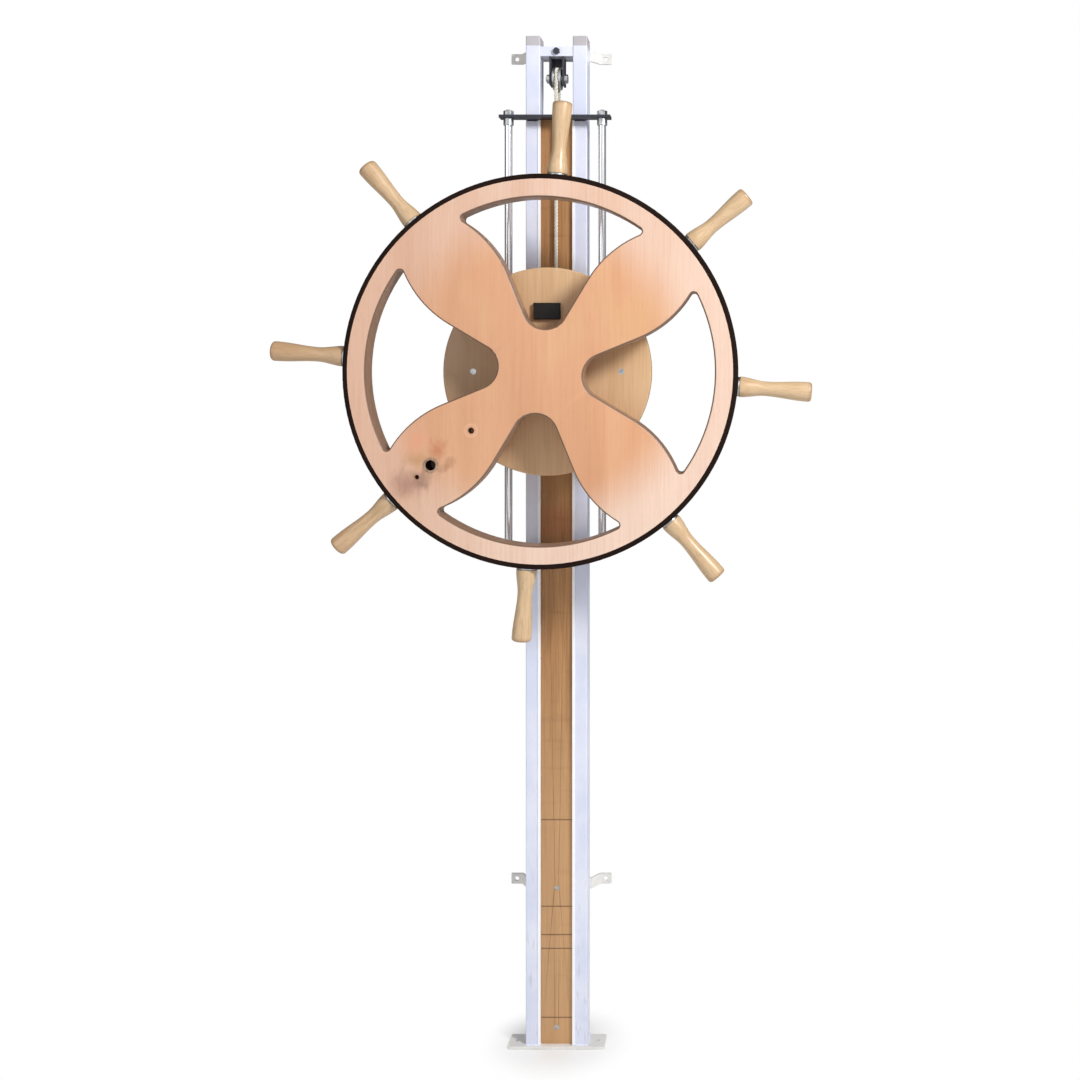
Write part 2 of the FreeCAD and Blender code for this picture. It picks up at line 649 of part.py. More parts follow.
def build_counterweight():
    y_range = (CORD_BACK - WEIGHT_THICKNESS / 2, CORD_BACK + WEIGHT_THICKNESS / 2)
    weight = box((-WEIGHT_WIDTH / 2, WEIGHT_WIDTH / 2), y_range, (WEIGHT_TOP - WEIGHT_LENGTH, WEIGHT_TOP))
    weight = weight.makeFillet(WEIGHT_CORNER, edges_along(weight, Z_AXIS))
    hole_start = Vector(0, CORD_BACK, WEIGHT_TOP - WEIGHT_KNOT_POCKET)
    hole = cylinder(hole_start, Z_AXIS, CORD_RADIUS + WEIGHT_CORD_GAP, WEIGHT_KNOT_POCKET)
    # A cross slot gives room for the knot.
    slot_half = KNOT_RADIUS + WEIGHT_KNOT_GAP
    slot_top = WEIGHT_TOP - WEIGHT_KNOT_POCKET + 2 * KNOT_RADIUS
    slot = box((-slot_half, slot_half), y_range, (WEIGHT_TOP - WEIGHT_KNOT_POCKET, slot_top))
    return weight.cut(hole).cut(slot)


hanger_bolt_start = Vector(0, CROSS_TUBE_FRONT, (CROSS_TUBE_TOP + CROSS_TUBE_BOTTOM) / 2)
hanger_bolt_length = CROSS_TUBE_DEPTH + HANGER_THICKNESS + HANGER_BOLT_HEAD + HANGER_BOLT_END
hanger_nut_start = Vector(0, CROSS_TUBE_BACK + HANGER_THICKNESS, hanger_bolt_start.z)
axle_bolt_start = SHEAVE_CENTRE + X_AXIS * HANGER_OUTSIDE
axle_bolt_length = 2 * HANGER_OUTSIDE + PULLEY_BOLT_HEAD + PULLEY_AXLE_END
axle_nut_start = SHEAVE_CENTRE - X_AXIS * (HANGER_OUTSIDE + PULLEY_BOLT_HEAD)

add("pulley_hanger", build_hanger())
add("hanger_bolt", bolt(hanger_bolt_start, Y_AXIS, HANGER_BOLT_RADIUS, hanger_bolt_length,
                        HANGER_BOLT_ACROSS_FLATS, HANGER_BOLT_HEAD))
add("hanger_nut", nut(hanger_nut_start, Y_AXIS, HANGER_BOLT_ACROSS_FLATS,
                      HANGER_BOLT_HEAD, HANGER_BOLT_RADIUS))
add("pulley_axle", bolt(axle_bolt_start, X_AXIS * -1, PULLEY_AXLE_RADIUS, axle_bolt_length,
                        PULLEY_BOLT_ACROSS_FLATS, PULLEY_BOLT_HEAD))
add("pulley_axle_nut", nut(axle_nut_start, X_AXIS, PULLEY_BOLT_ACROSS_FLATS,
                           PULLEY_BOLT_HEAD, PULLEY_AXLE_RADIUS))
add("pulley_sheave", build_sheave())
add("cord_over_pulley", build_cord_over_pulley())
add("cord_front", cord_run(CORD_FRONT, ANCHOR_TOP, PULLEY_HEIGHT))
add("cord_front_knot", build_front_knot())
add("cord_rear", cord_run(CORD_BACK, WEIGHT_TOP, PULLEY_HEIGHT))
add("cord_rear_knot", build_rear_knot())
add("counterweight", build_counterweight())

# Carriage: bearing blocks on the rods, plate, bearing housing, disc and lock
PLATE_HALF = ROD_X + BLOCK_WIDTH / 2 + PLATE_MARGIN


def build_block(side, level):
    centre_x = side * ROD_X
    middle = WHEEL_AXIS_HEIGHT + level * BLOCK_OFFSET
    z_range = (middle - BLOCK_HEIGHT / 2, middle + BLOCK_HEIGHT / 2)
    x_range = (centre_x - BLOCK_WIDTH / 2, centre_x + BLOCK_WIDTH / 2)
    block = box(x_range, (PLATE_BACK, PLATE_BACK + BLOCK_DEPTH), z_range)
    block = block.makeFillet(BLOCK_CORNER, edges_along(block, Z_AXIS))
    block = block.cut(cylinder(Vector(centre_x, ROD_DEPTH, z_range[0]), Z_AXIS, BUSH_RADIUS, BLOCK_HEIGHT))
    if side > 0 and level > 0:
        start = Vector(centre_x, ROD_DEPTH, middle)
        block = block.cut(cylinder(start, X_AXIS, LOCK_STUD_RADIUS + LOCK_STUD_CLEARANCE, BLOCK_WIDTH))
    return block


def build_bush(side, level):
    bottom = WHEEL_AXIS_HEIGHT + level * BLOCK_OFFSET - BLOCK_HEIGHT / 2
    start = Vector(side * ROD_X, ROD_DEPTH, bottom)
    bush = tube(start, Z_AXIS, BUSH_RADIUS, ROD_RADIUS + BUSH_CLEARANCE, BLOCK_HEIGHT)
    if side > 0 and level > 0:
        middle = start + Z_AXIS * (BLOCK_HEIGHT / 2)
        bush = bush.cut(cylinder(middle, X_AXIS, LOCK_STUD_RADIUS + LOCK_STUD_CLEARANCE, BLOCK_WIDTH))
    return bush


def anchor_bolt_points():
    height = ANCHOR_TOP - ANCHOR_LEAF + ANCHOR_THICKNESS
    return [Vector(side * ANCHOR_BOLT_SPACING / 2, PLATE_FRONT, height) for side in (-1, 1)]


def build_plate():
    z_range = (WHEEL_AXIS_HEIGHT - PLATE_BELOW, WHEEL_AXIS_HEIGHT + PLATE_ABOVE)
    plate = box((-PLATE_HALF, PLATE_HALF), (PLATE_FRONT, PLATE_BACK), z_range)
    plate = plate.makeFillet(PLATE_CORNER, edges_along(plate, Y_AXIS))
    centre = Vector(0, PLATE_FRONT, WHEEL_AXIS_HEIGHT)
    plate = plate.cut(cylinder(centre, Y_AXIS, HOUSING_BORE, PLATE_THICKNESS))
    for point in anchor_bolt_points():
        plate = plate.cut(cylinder(point, Y_AXIS, ANCHOR_BOLT_RADIUS, PLATE_THICKNESS))
    return plate


def build_anchor():
    half = ANCHOR_WIDTH / 2
    leaf_y = (PLATE_BACK, PLATE_BACK + ANCHOR_THICKNESS)
    leaf = box((-half, half), leaf_y, (ANCHOR_TOP - ANCHOR_LEAF, ANCHOR_TOP))
    shelf_y = (PLATE_BACK, CORD_FRONT + CORD_RADIUS + ANCHOR_LIP)
    shelf = box((-half, half), shelf_y, (ANCHOR_TOP - ANCHOR_THICKNESS, ANCHOR_TOP))
    anchor = leaf.fuse(shelf).removeSplitter()
    hole = Vector(0, CORD_FRONT, ANCHOR_TOP - ANCHOR_THICKNESS)
    anchor = anchor.cut(cylinder(hole, Z_AXIS, CORD_RADIUS, ANCHOR_THICKNESS))
    for point in anchor_bolt_points():
        anchor = anchor.cut(cylinder(point, Y_AXIS, ANCHOR_BOLT_RADIUS, PLATE_THICKNESS + ANCHOR_THICKNESS))
    return anchor


def build_anchor_bolts():
    bolts = []
    for point in anchor_bolt_points():
        length = PLATE_THICKNESS + ANCHOR_THICKNESS
        bolts.append(bolt(point, Y_AXIS, ANCHOR_BOLT_RADIUS, length,
                          ANCHOR_BOLT_ACROSS_FLATS, ANCHOR_BOLT_HEAD))
    return bolts


def build_housing():
    start = Vector(0, HOUSING_FRONT, WHEEL_AXIS_HEIGHT)
    housing = cylinder(start, Y_AXIS, HOUSING_RADIUS, HOUSING_LENGTH)
    housing = housing.cut(cylinder(start, Y_AXIS, HOUSING_BORE, HOUSING_LENGTH))
    front_seat = FRONT_BEARING_BACK - HOUSING_FRONT
    housing = housing.cut(cylinder(start, Y_AXIS, BEARING_RADIUS, front_seat))
    rear = Vector(0, REAR_BEARING_FRONT, WHEEL_AXIS_HEIGHT)
    return housing.cut(cylinder(rear, Y_AXIS, BEARING_RADIUS, BEARING_WIDTH))


def build_bearing(front_y):
    # Outer and inner race joined by the cage, with a shallow shield groove on each side.
    start = Vector(0, front_y, WHEEL_AXIS_HEIGHT)
    bearing = tube(start, Y_AXIS, BEARING_RADIUS, AXLE_RADIUS + BEARING_CLEARANCE, BEARING_WIDTH)
    groove_outer = BEARING_RADIUS - BEARING_RACE
    groove_inner = AXLE_RADIUS + BEARING_RACE
    for y in (front_y, front_y + BEARING_WIDTH - BEARING_GROOVE):
        groove_start = Vector(0, y, WHEEL_AXIS_HEIGHT)
        groove = tube(groove_start, Y_AXIS, groove_outer, groove_inner, BEARING_GROOVE)
        bearing = bearing.cut(groove)
    return bearing


def build_circlip():
    start = Vector(0, HOUSING_FRONT + CIRCLIP_SETBACK, WHEEL_AXIS_HEIGHT)
    ring = tube(start, Y_AXIS, BEARING_RADIUS, BEARING_RADIUS - CIRCLIP_BAND, CIRCLIP_THICKNESS)
    gap_x = (-CIRCLIP_GAP / 2, CIRCLIP_GAP / 2)
    gap_z = (WHEEL_AXIS_HEIGHT - BEARING_RADIUS - 1, WHEEL_AXIS_HEIGHT)
    return ring.cut(box(gap_x, (start.y, start.y + CIRCLIP_THICKNESS), gap_z))


def disc_screw(side):
    start = Vector(side * DISC_SCREW_OFFSET, DISC_FRONT, WHEEL_AXIS_HEIGHT)
    length = DISC_THICKNESS + STRAP_THICKNESS
    return countersunk(start, Y_AXIS, DISC_SCREW_RADIUS, DISC_SCREW_HEAD_RADIUS, length)


def build_strap():
    half = STRAP_LENGTH / 2
    z_range = (WHEEL_AXIS_HEIGHT - STRAP_HEIGHT / 2, WHEEL_AXIS_HEIGHT + STRAP_HEIGHT / 2)
    strap = box((-half, half), (DISC_BACK, DISC_BACK + STRAP_THICKNESS), z_range)
    strap = strap.makeFillet((STRAP_HEIGHT - STRAP_END_FLAT) / 2, edges_along(strap, Y_AXIS))
    centre = Vector(0, DISC_BACK, WHEEL_AXIS_HEIGHT)
    strap = strap.fuse(cylinder(centre, Y_AXIS, HOUSING_RADIUS + STRAP_RING, STRAP_THICKNESS))
    strap = strap.cut(cylinder(centre, Y_AXIS, HOUSING_RADIUS, STRAP_THICKNESS))
    for side in (-1, 1):
        start = Vector(side * DISC_SCREW_OFFSET, DISC_BACK, WHEEL_AXIS_HEIGHT)
        strap = strap.cut(cylinder(start, Y_AXIS, DISC_SCREW_RADIUS, STRAP_THICKNESS))
    return strap.removeSplitter()


def arm_section(grow, y_range):
    x_range = (-ARM_WIDTH / 2 - grow, ARM_WIDTH / 2 + grow)
    middle = WHEEL_AXIS_HEIGHT + ARM_OFFSET
    return box(x_range, y_range, (middle - ARM_HEIGHT / 2 - grow, middle + ARM_HEIGHT / 2 + grow))


def build_disc():
    start = Vector(0, DISC_FRONT, WHEEL_AXIS_HEIGHT)
    disc = cylinder(start, Y_AXIS, DISC_RADIUS, DISC_THICKNESS)
    rims = [edge for edge in disc.Edges if isinstance(edge.Curve, Part.Circle)]
    disc = disc.makeFillet(DISC_EDGE, rims)
    disc = disc.cut(cylinder(start, Y_AXIS, HOUSING_RADIUS + DISC_HOLE_GAP, DISC_THICKNESS))
    disc = disc.cut(arm_section(ARM_SLOT_GAP, (DISC_FRONT, DISC_BACK)))
    for side in (-1, 1):
        disc = disc.cut(disc_screw(side))
    return disc


def build_arm():
    y_range = (ARM_FRONT, PLATE_FRONT)
    return arm_section(0, y_range).cut(arm_section(-ARM_WALL, y_range))


def build_arm_plug():
    cap = arm_section(0, (ARM_FRONT - ARM_PLUG_PROUD, ARM_FRONT))
    front_edges = [edge for edge in cap.Edges if edge.CenterOfMass.y < ARM_FRONT - ARM_PLUG_PROUD + 0.01]
    cap = cap.makeFillet(ARM_PLUG_EDGE, front_edges)
    return cap.fuse(arm_section(-ARM_WALL, (ARM_FRONT, ARM_FRONT + ARM_PLUG_DEPTH))).removeSplitter()


LOCK_LEVEL = WHEEL_AXIS_HEIGHT + BLOCK_OFFSET
LOCK_OUTSIDE = ROD_X + BLOCK_WIDTH / 2


def build_lock_knob():
    start = Vector(LOCK_OUTSIDE + LOCK_KNOB_GAP, ROD_DEPTH, LOCK_LEVEL)
    knob = cylinder(start, X_AXIS, LOCK_KNOB_RADIUS, LOCK_KNOB_LENGTH)
    rims = [edge for edge in knob.Edges if isinstance(edge.Curve, Part.Circle)]
    knob = knob.makeFillet(LOCK_KNOB_EDGE, rims)
    for step in range(LOCK_LOBES):
        angle = 2 * math.pi * step / LOCK_LOBES
        reach = LOCK_KNOB_RADIUS + LOCK_LOBE_CUT / 2
        offset = Vector(-1, reach * math.cos(angle), reach * math.sin(angle))
        knob = knob.cut(cylinder(start + offset, X_AXIS, LOCK_LOBE_CUT, LOCK_KNOB_LENGTH + 2))
    return knob.cut(cylinder(start, X_AXIS, LOCK_STUD_RADIUS, LOCK_KNOB_LENGTH / 2))


def build_lock_stud():
    inner = ROD_X + ROD_RADIUS + LOCK_ROD_GAP
    outer = LOCK_OUTSIDE + LOCK_KNOB_GAP + LOCK_KNOB_LENGTH / 2
    return cylinder(Vector(inner, ROD_DEPTH, LOCK_LEVEL), X_AXIS, LOCK_STUD_RADIUS, outer - inner)


plain_blocks = [build_block(side, level) for side, level in ((-1, 1), (-1, -1), (1, -1))]
add("bearing_blocks", group(plain_blocks))
add("lock_bearing_block", build_block(1, 1))
bushes = [build_bush(side, level) for side in (-1, 1) for level in (-1, 1)]
add("rod_bushes", group(bushes))
add("carriage_plate", build_plate())
add("cord_anchor", build_anchor())
add("anchor_bolts", group(build_anchor_bolts()))
add("bearing_housing", build_housing())
add("front_bearing", build_bearing(FRONT_BEARING_BACK - BEARING_WIDTH))
add("rear_bearing", build_bearing(REAR_BEARING_FRONT))
add("bearing_circlip", build_circlip())
add("disc_strap", build_strap())
add("backing_disc", build_disc())
add("disc_screws", group([disc_screw(-1), disc_screw(1)]))
add("arm_tube", build_arm())
add("arm_plug", build_arm_plug())
add("lock_knob", build_lock_knob())
add("lock_stud", build_lock_stud())


# Wheel: the outline of one cut-out, in reach and sideways distance from the axle
def window_wire(angle, depth):
    flank = math.radians(FLANK_ANGLE)
    nose_centre = NOSE_REACH + NOSE_RADIUS
    tangent = (nose_centre - NOSE_RADIUS * math.sin(flank), NOSE_RADIUS * math.cos(flank))
    leaf_start = (
        tangent[0] + FLANK_LENGTH * math.cos(flank),
        tangent[1] + FLANK_LENGTH * math.sin(flank),
    )
    leaf_centre = (
        leaf_start[0] - LEAF_RADIUS * math.sin(flank),
        leaf_start[1] + LEAF_RADIUS * math.cos(flank),
    )
    # The corner arc touches the leaf's arc from outside and the rim's arc from inside.
    far = WINDOW_RADIUS - WINDOW_CORNER
    near = LEAF_RADIUS + WINDOW_CORNER
    distance = math.hypot(leaf_centre[0], leaf_centre[1])
    along = (far ** 2 - near ** 2 + distance ** 2) / (2 * distance)
    across = math.sqrt(far ** 2 - along ** 2)
    unit = (leaf_centre[0] / distance, leaf_centre[1] / distance)
    corner = (along * unit[0] + across * unit[1], along * unit[1] - across * unit[0])
    rim_touch = (corner[0] * WINDOW_RADIUS / far, corner[1] * WINDOW_RADIUS / far)
    share = LEAF_RADIUS / near
    leaf_end = (
        leaf_centre[0] + (corner[0] - leaf_centre[0]) * share,
        leaf_centre[1] + (corner[1] - leaf_centre[1]) * share,
    )

    def middle(centre, radius, first, second):
        offset_x = (first[0] + second[0]) / 2 - centre[0]
        offset_y = (first[1] + second[1]) / 2 - centre[1]
        size = math.hypot(offset_x, offset_y)
        return (centre[0] + offset_x * radius / size, centre[1] + offset_y * radius / size)

    def place(point, sign=1):
        return wheel_point(angle, point[0], sign * point[1], depth)

    leaf_middle = middle(leaf_centre, LEAF_RADIUS, leaf_start, leaf_end)
    corner_middle = middle(corner, WINDOW_CORNER, leaf_end, rim_touch)
    edges = [
        Part.Arc(place(tangent, -1), place((NOSE_REACH, 0)), place(tangent)).toShape(),
        Part.makeLine(place(tangent), place(leaf_start)),
        Part.Arc(place(leaf_start), place(leaf_middle), place(leaf_end)).toShape(),
        Part.Arc(place(leaf_end), place(corner_middle), place(rim_touch)).toShape(),
        Part.Arc(place(rim_touch), place((WINDOW_RADIUS, 0)), place(rim_touch, -1)).toShape(),
        Part.Arc(place(rim_touch, -1), place(corner_middle, -1), place(leaf_end, -1)).toShape(),
        Part.Arc(place(leaf_end, -1), place(leaf_middle, -1), place(leaf_start, -1)).toShape(),
        Part.makeLine(place(leaf_start, -1), place(tangent, -1)),
    ]
    return Part.Wire(edges)


WHEEL_CENTRE_FRONT = Vector(0, WHEEL_FRONT, WHEEL_AXIS_HEIGHT)
PEG_ANGLE = 225.0 - WHEEL_TURN


def handle_angles():
    return [90.0 - WHEEL_TURN + step * 360.0 / HANDLES for step in range(HANDLES)]


def hub_screw_points(depth):
    angles = [90.0 - WHEEL_TURN + step * 360.0 / HUB_SCREWS for step in range(HUB_SCREWS)]
    return [wheel_point(angle, HUB_SCREW_CIRCLE, 0, depth) for angle in angles]


def build_wheel_board():
    board = cylinder(WHEEL_CENTRE_FRONT, Y_AXIS, BOARD_RADIUS, WHEEL_THICKNESS)
    for step in range(WINDOWS):
        angle = 90.0 - WHEEL_TURN + step * 360.0 / WINDOWS
        window = Part.Face(window_wire(angle, WHEEL_FRONT))
        board = board.cut(window.extrude(Y_AXIS * WHEEL_THICKNESS))
    soft_edges = []
    for edge in board.Edges:
        centre = edge.CenterOfMass
        on_face = min(abs(centre.y - WHEEL_FRONT), abs(centre.y - WHEEL_BACK)) < 0.01
        reach = max(math.hypot(v.X, v.Z - WHEEL_AXIS_HEIGHT) for v in edge.Vertexes)
        if on_face and reach < (WINDOW_RADIUS + BOARD_RADIUS) / 2:
            soft_edges.append(edge)
    board = board.makeFillet(WINDOW_EDGE, soft_edges)
    peg_start = wheel_point(PEG_ANGLE, PEG_HOLE_REACH, 0, WHEEL_FRONT)
    board = board.cut(cylinder(peg_start, Y_AXIS, PEG_BUSH_RADIUS, WHEEL_THICKNESS))
    for reach, radius in SMALL_HOLES:
        start = wheel_point(PEG_ANGLE, reach, 0, WHEEL_FRONT)
        board = board.cut(cylinder(start, Y_AXIS, radius, SMALL_HOLE_DEPTH))
    for start in hub_screw_points(WHEEL_BACK):
        length = HUB_SCREW_LENGTH - HUB_THICKNESS
        board = board.cut(cylinder(start, Y_AXIS * -1, HUB_SCREW_RADIUS, length))
    for angle in handle_angles():
        start = wheel_point(angle, BOARD_RADIUS - STUD_IN_RIM, 0, WHEEL_MIDDLE)
        board = board.cut(cylinder(start, wheel_direction(angle), STUD_RADIUS, STUD_IN_RIM + 1))
    return board


def build_band():
    band = tube(WHEEL_CENTRE_FRONT, Y_AXIS, WHEEL_RADIUS, BOARD_RADIUS, WHEEL_THICKNESS)
    outer = []
    for edge in band.Edges:
        if isinstance(edge.Curve, Part.Circle) and abs(edge.Curve.Radius - WHEEL_RADIUS) < 0.01:
            outer.append(edge)
    band = band.makeFillet(BAND_EDGE, outer)
    for angle in handle_angles():
        start = wheel_point(angle, BOARD_RADIUS - 2, 0, WHEEL_MIDDLE)
        band = band.cut(cylinder(start, wheel_direction(angle), STUD_RADIUS, BAND_THICKNESS + 4))
    return band


def build_handle(angle):
    length = HANDLE_LENGTH
    waist = HANDLE_WAIST_SHARE * length
    profile = [
        (0.0, HANDLE_BASE_RADIUS),
        (waist * 0.45, (HANDLE_BASE_RADIUS + HANDLE_WAIST_RADIUS) / 2),
        (waist, HANDLE_WAIST_RADIUS),
        (waist + (length - waist) * 0.55, (HANDLE_WAIST_RADIUS + HANDLE_TIP_RADIUS) / 2),
        (length - HANDLE_TIP_EDGE * 2, HANDLE_TIP_RADIUS),
    ]
    points = [Vector(reach, 0, radius) for reach, radius in profile]
    side = Part.BSplineCurve()
    side.interpolate(points)
    tip_start = points[-1]
    shoulder = Vector(length - HANDLE_TIP_EDGE, 0, HANDLE_TIP_RADIUS)
    cut = HANDLE_TIP_EDGE * (1 - math.sqrt(0.5))
    rounding = Part.Arc(
        shoulder,
        Vector(length - cut, 0, HANDLE_TIP_RADIUS - cut),
        Vector(length, 0, HANDLE_TIP_RADIUS - HANDLE_TIP_EDGE),
    )
    edges = [
        Part.makeLine(Vector(0, 0, 0), points[0]),
        side.toShape(),
        Part.makeLine(tip_start, shoulder),
        rounding.toShape(),
        Part.makeLine(Vector(length, 0, HANDLE_TIP_RADIUS - HANDLE_TIP_EDGE), Vector(length, 0, 0)),
        Part.makeLine(Vector(length, 0, 0), Vector(0, 0, 0)),
    ]
    handle = Part.Face(Part.Wire(edges)).revolve(Vector(0, 0, 0), X_AXIS, 360)
    handle = Part.Solid(handle) if handle.ShapeType == "Shell" else handle
    handle = handle.cut(cylinder(Vector(0, 0, 0), X_AXIS, STUD_RADIUS, STUD_IN_HANDLE))
    handle.rotate(Vector(0, 0, 0), Y_AXIS, -angle)
    handle.translate(wheel_point(angle, HANDLE_BASE, 0, WHEEL_MIDDLE))
    return handle


def build_washer(angle):
    # The inner face is hollowed to the rim's curve so that it sits on the band.
    inner = wheel_point(angle, WHEEL_RADIUS - 4, 0, WHEEL_MIDDLE)
    direction = wheel_direction(angle)
    washer = cylinder(inner, direction, WASHER_RADIUS, WASHER_THICKNESS + 4)
    washer = washer.cut(cylinder(inner, direction, STUD_RADIUS, WASHER_THICKNESS + 4))
    return washer.cut(cylinder(WHEEL_CENTRE_FRONT, Y_AXIS, WHEEL_RADIUS, WHEEL_THICKNESS))


def build_stud(angle):
    start = wheel_point(angle, BOARD_RADIUS - STUD_IN_RIM, 0, WHEEL_MIDDLE)
    length = HANDLE_BASE + STUD_IN_HANDLE - (BOARD_RADIUS - STUD_IN_RIM)
    return cylinder(start, wheel_direction(angle), STUD_RADIUS, length)


def build_peg_bush():
    # A blind socket: the bush is closed at the wheel's back.
    start = wheel_point(PEG_ANGLE, PEG_HOLE_REACH, 0, WHEEL_FRONT)
    flange_start = start - Y_AXIS * PEG_FLANGE
    bush = cylinder(start, Y_AXIS, PEG_BUSH_RADIUS, WHEEL_THICKNESS)
    bush = bush.fuse(cylinder(flange_start, Y_AXIS, PEG_FLANGE_RADIUS, PEG_FLANGE))
    bore_depth = PEG_FLANGE + WHEEL_THICKNESS - PEG_FLOOR
    return bush.cut(cylinder(flange_start, Y_AXIS, PEG_BORE_RADIUS, bore_depth))


def build_hub_flange():
    start = Vector(0, WHEEL_BACK, WHEEL_AXIS_HEIGHT)
    flange = tube(start, Y_AXIS, HUB_RADIUS, AXLE_RADIUS, HUB_THICKNESS)
    collar_length = HOUSING_FRONT + CIRCLIP_SETBACK + CIRCLIP_THICKNESS - COLLAR_GAP - HUB_BACK
    collar_start = Vector(0, HUB_BACK, WHEEL_AXIS_HEIGHT)
    flange = flange.fuse(tube(collar_start, Y_AXIS, COLLAR_RADIUS, AXLE_RADIUS, collar_length))
    for point in hub_screw_points(WHEEL_BACK):
        flange = flange.cut(cylinder(point, Y_AXIS, HUB_SCREW_RADIUS, HUB_THICKNESS))
    return flange


def build_hub_screws():
    screws = []
    for point in hub_screw_points(HUB_BACK):
        head = cylinder(point, Y_AXIS, HUB_SCREW_HEAD_RADIUS, HUB_SCREW_HEAD)
        shank = cylinder(point, Y_AXIS * -1, HUB_SCREW_RADIUS, HUB_SCREW_LENGTH)
        screws.append(head.fuse(shank))
    return screws


def axle_tube(start_y, end_y, outer):
    return tube(Vector(0, start_y, WHEEL_AXIS_HEIGHT), Y_AXIS, outer, AXLE_RADIUS, end_y - start_y)


AXLE_SPACER_BACK = PLATE_BACK + AXLE_SPACER_PROUD
AXLE_WASHER_BACK = AXLE_SPACER_BACK + AXLE_WASHER_THICKNESS
AXLE_NUT_BACK = AXLE_WASHER_BACK + AXLE_NUT_THICKNESS

add("wheel_board", build_wheel_board())
add("rim_band", build_band())
add("handles", group([build_handle(angle) for angle in handle_angles()]))
add("handle_washers", group([build_washer(angle) for angle in handle_angles()]))
add("handle_studs", group([build_stud(angle) for angle in handle_angles()]))
add("peg_bush", build_peg_bush())
add("hub_flange", build_hub_flange())
add("hub_screws", group(build_hub_screws()))
axle_length = AXLE_NUT_BACK + AXLE_END_PROUD - WHEEL_BACK
add("axle_shaft", cylinder(Vector(0, WHEEL_BACK, WHEEL_AXIS_HEIGHT), Y_AXIS, AXLE_RADIUS, axle_length))
spacer_front = FRONT_BEARING_BACK + COLLAR_GAP
add("bearing_spacer", axle_tube(spacer_front, REAR_BEARING_FRONT - COLLAR_GAP, COLLAR_RADIUS))
add("axle_spacer", axle_tube(PLATE_FRONT + COLLAR_GAP, AXLE_SPACER_BACK, COLLAR_RADIUS))
add("axle_washer", axle_tube(AXLE_SPACER_BACK, AXLE_WASHER_BACK, AXLE_WASHER_RADIUS))
add("axle_nut", nut(Vector(0, AXLE_WASHER_BACK, WHEEL_AXIS_HEIGHT), Y_AXIS, AXLE_NUT_ACROSS_FLATS,
                    AXLE_NUT_THICKNESS, AXLE_RADIUS))

os.makedirs("parts", exist_ok=True)
for name, shape in nodes.items():
    moved = shape.copy()
    moved.translate(ORIGIN * -1)
    solids = moved.Solids
    if not solids or not all(solid.isValid() for solid in solids):
        raise ValueError("this piece is not a sound solid: " + name)
    moved.exportStep("parts/" + name + ".step")
print(len(nodes), "nodes")
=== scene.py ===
import bpy
import bmesh
import json
import math
from mathutils import Matrix, Vector

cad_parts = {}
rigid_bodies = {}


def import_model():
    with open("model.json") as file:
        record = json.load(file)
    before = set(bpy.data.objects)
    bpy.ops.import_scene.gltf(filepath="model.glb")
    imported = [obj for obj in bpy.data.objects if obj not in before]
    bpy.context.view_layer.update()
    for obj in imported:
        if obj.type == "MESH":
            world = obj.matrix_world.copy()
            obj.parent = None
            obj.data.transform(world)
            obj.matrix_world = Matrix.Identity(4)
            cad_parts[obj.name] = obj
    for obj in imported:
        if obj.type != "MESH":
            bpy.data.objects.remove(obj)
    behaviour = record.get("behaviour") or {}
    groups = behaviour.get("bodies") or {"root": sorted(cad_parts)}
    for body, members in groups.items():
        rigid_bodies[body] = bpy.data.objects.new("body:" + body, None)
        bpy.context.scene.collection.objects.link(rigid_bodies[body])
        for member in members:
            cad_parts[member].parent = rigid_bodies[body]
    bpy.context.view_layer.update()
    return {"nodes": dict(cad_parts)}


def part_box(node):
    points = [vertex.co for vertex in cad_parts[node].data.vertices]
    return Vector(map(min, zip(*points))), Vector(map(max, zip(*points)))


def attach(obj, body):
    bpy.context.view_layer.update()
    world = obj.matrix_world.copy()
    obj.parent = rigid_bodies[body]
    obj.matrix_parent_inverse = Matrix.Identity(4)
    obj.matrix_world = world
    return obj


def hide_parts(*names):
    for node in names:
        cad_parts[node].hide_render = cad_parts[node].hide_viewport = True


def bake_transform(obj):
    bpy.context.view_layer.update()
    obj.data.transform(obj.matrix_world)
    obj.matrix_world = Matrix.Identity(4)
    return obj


# The wheel's frame is loaded into an empty scene
for left_over in list(bpy.data.objects):
    bpy.data.objects.remove(left_over)
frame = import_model()

# Places taken from the frame, in metres
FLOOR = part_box("foot_plate")[0].z
AXLE = (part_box("axle_shaft")[0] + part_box("axle_shaft")[1]) / 2
WHEEL_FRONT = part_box("wheel_board")[0].y
WHEEL_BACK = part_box("wheel_board")[1].y
WHEEL_MIDDLE = (WHEEL_FRONT + WHEEL_BACK) / 2
WHEEL_TURN = math.radians(4.4)
HANDLES = 8
HANDLE_BASE = 0.383
HANDLE_TIP = 0.523


# Small helpers for materials

def srgb(red, green, blue):
    def linear(value):
        share = value / 255
        return share / 12.92 if share <= 0.04045 else ((share + 0.055) / 1.055) ** 2.4
    return (linear(red), linear(green), linear(blue), 1.0)


def add_node(tree, kind, inputs, **settings):
    made = tree.nodes.new(kind)
    for name, value in settings.items():
        setattr(made, name, value)
    for name, value in inputs.items():
        if isinstance(value, bpy.types.NodeSocket):
            tree.links.new(value, made.inputs[name])
        else:
            made.inputs[name].default_value = value
    return made


def object_place(tree):
    return add_node(tree, "ShaderNodeTexCoord", {}).outputs["Object"]


def object_facing(tree):
    return add_node(tree, "ShaderNodeTexCoord", {}).outputs["Normal"]


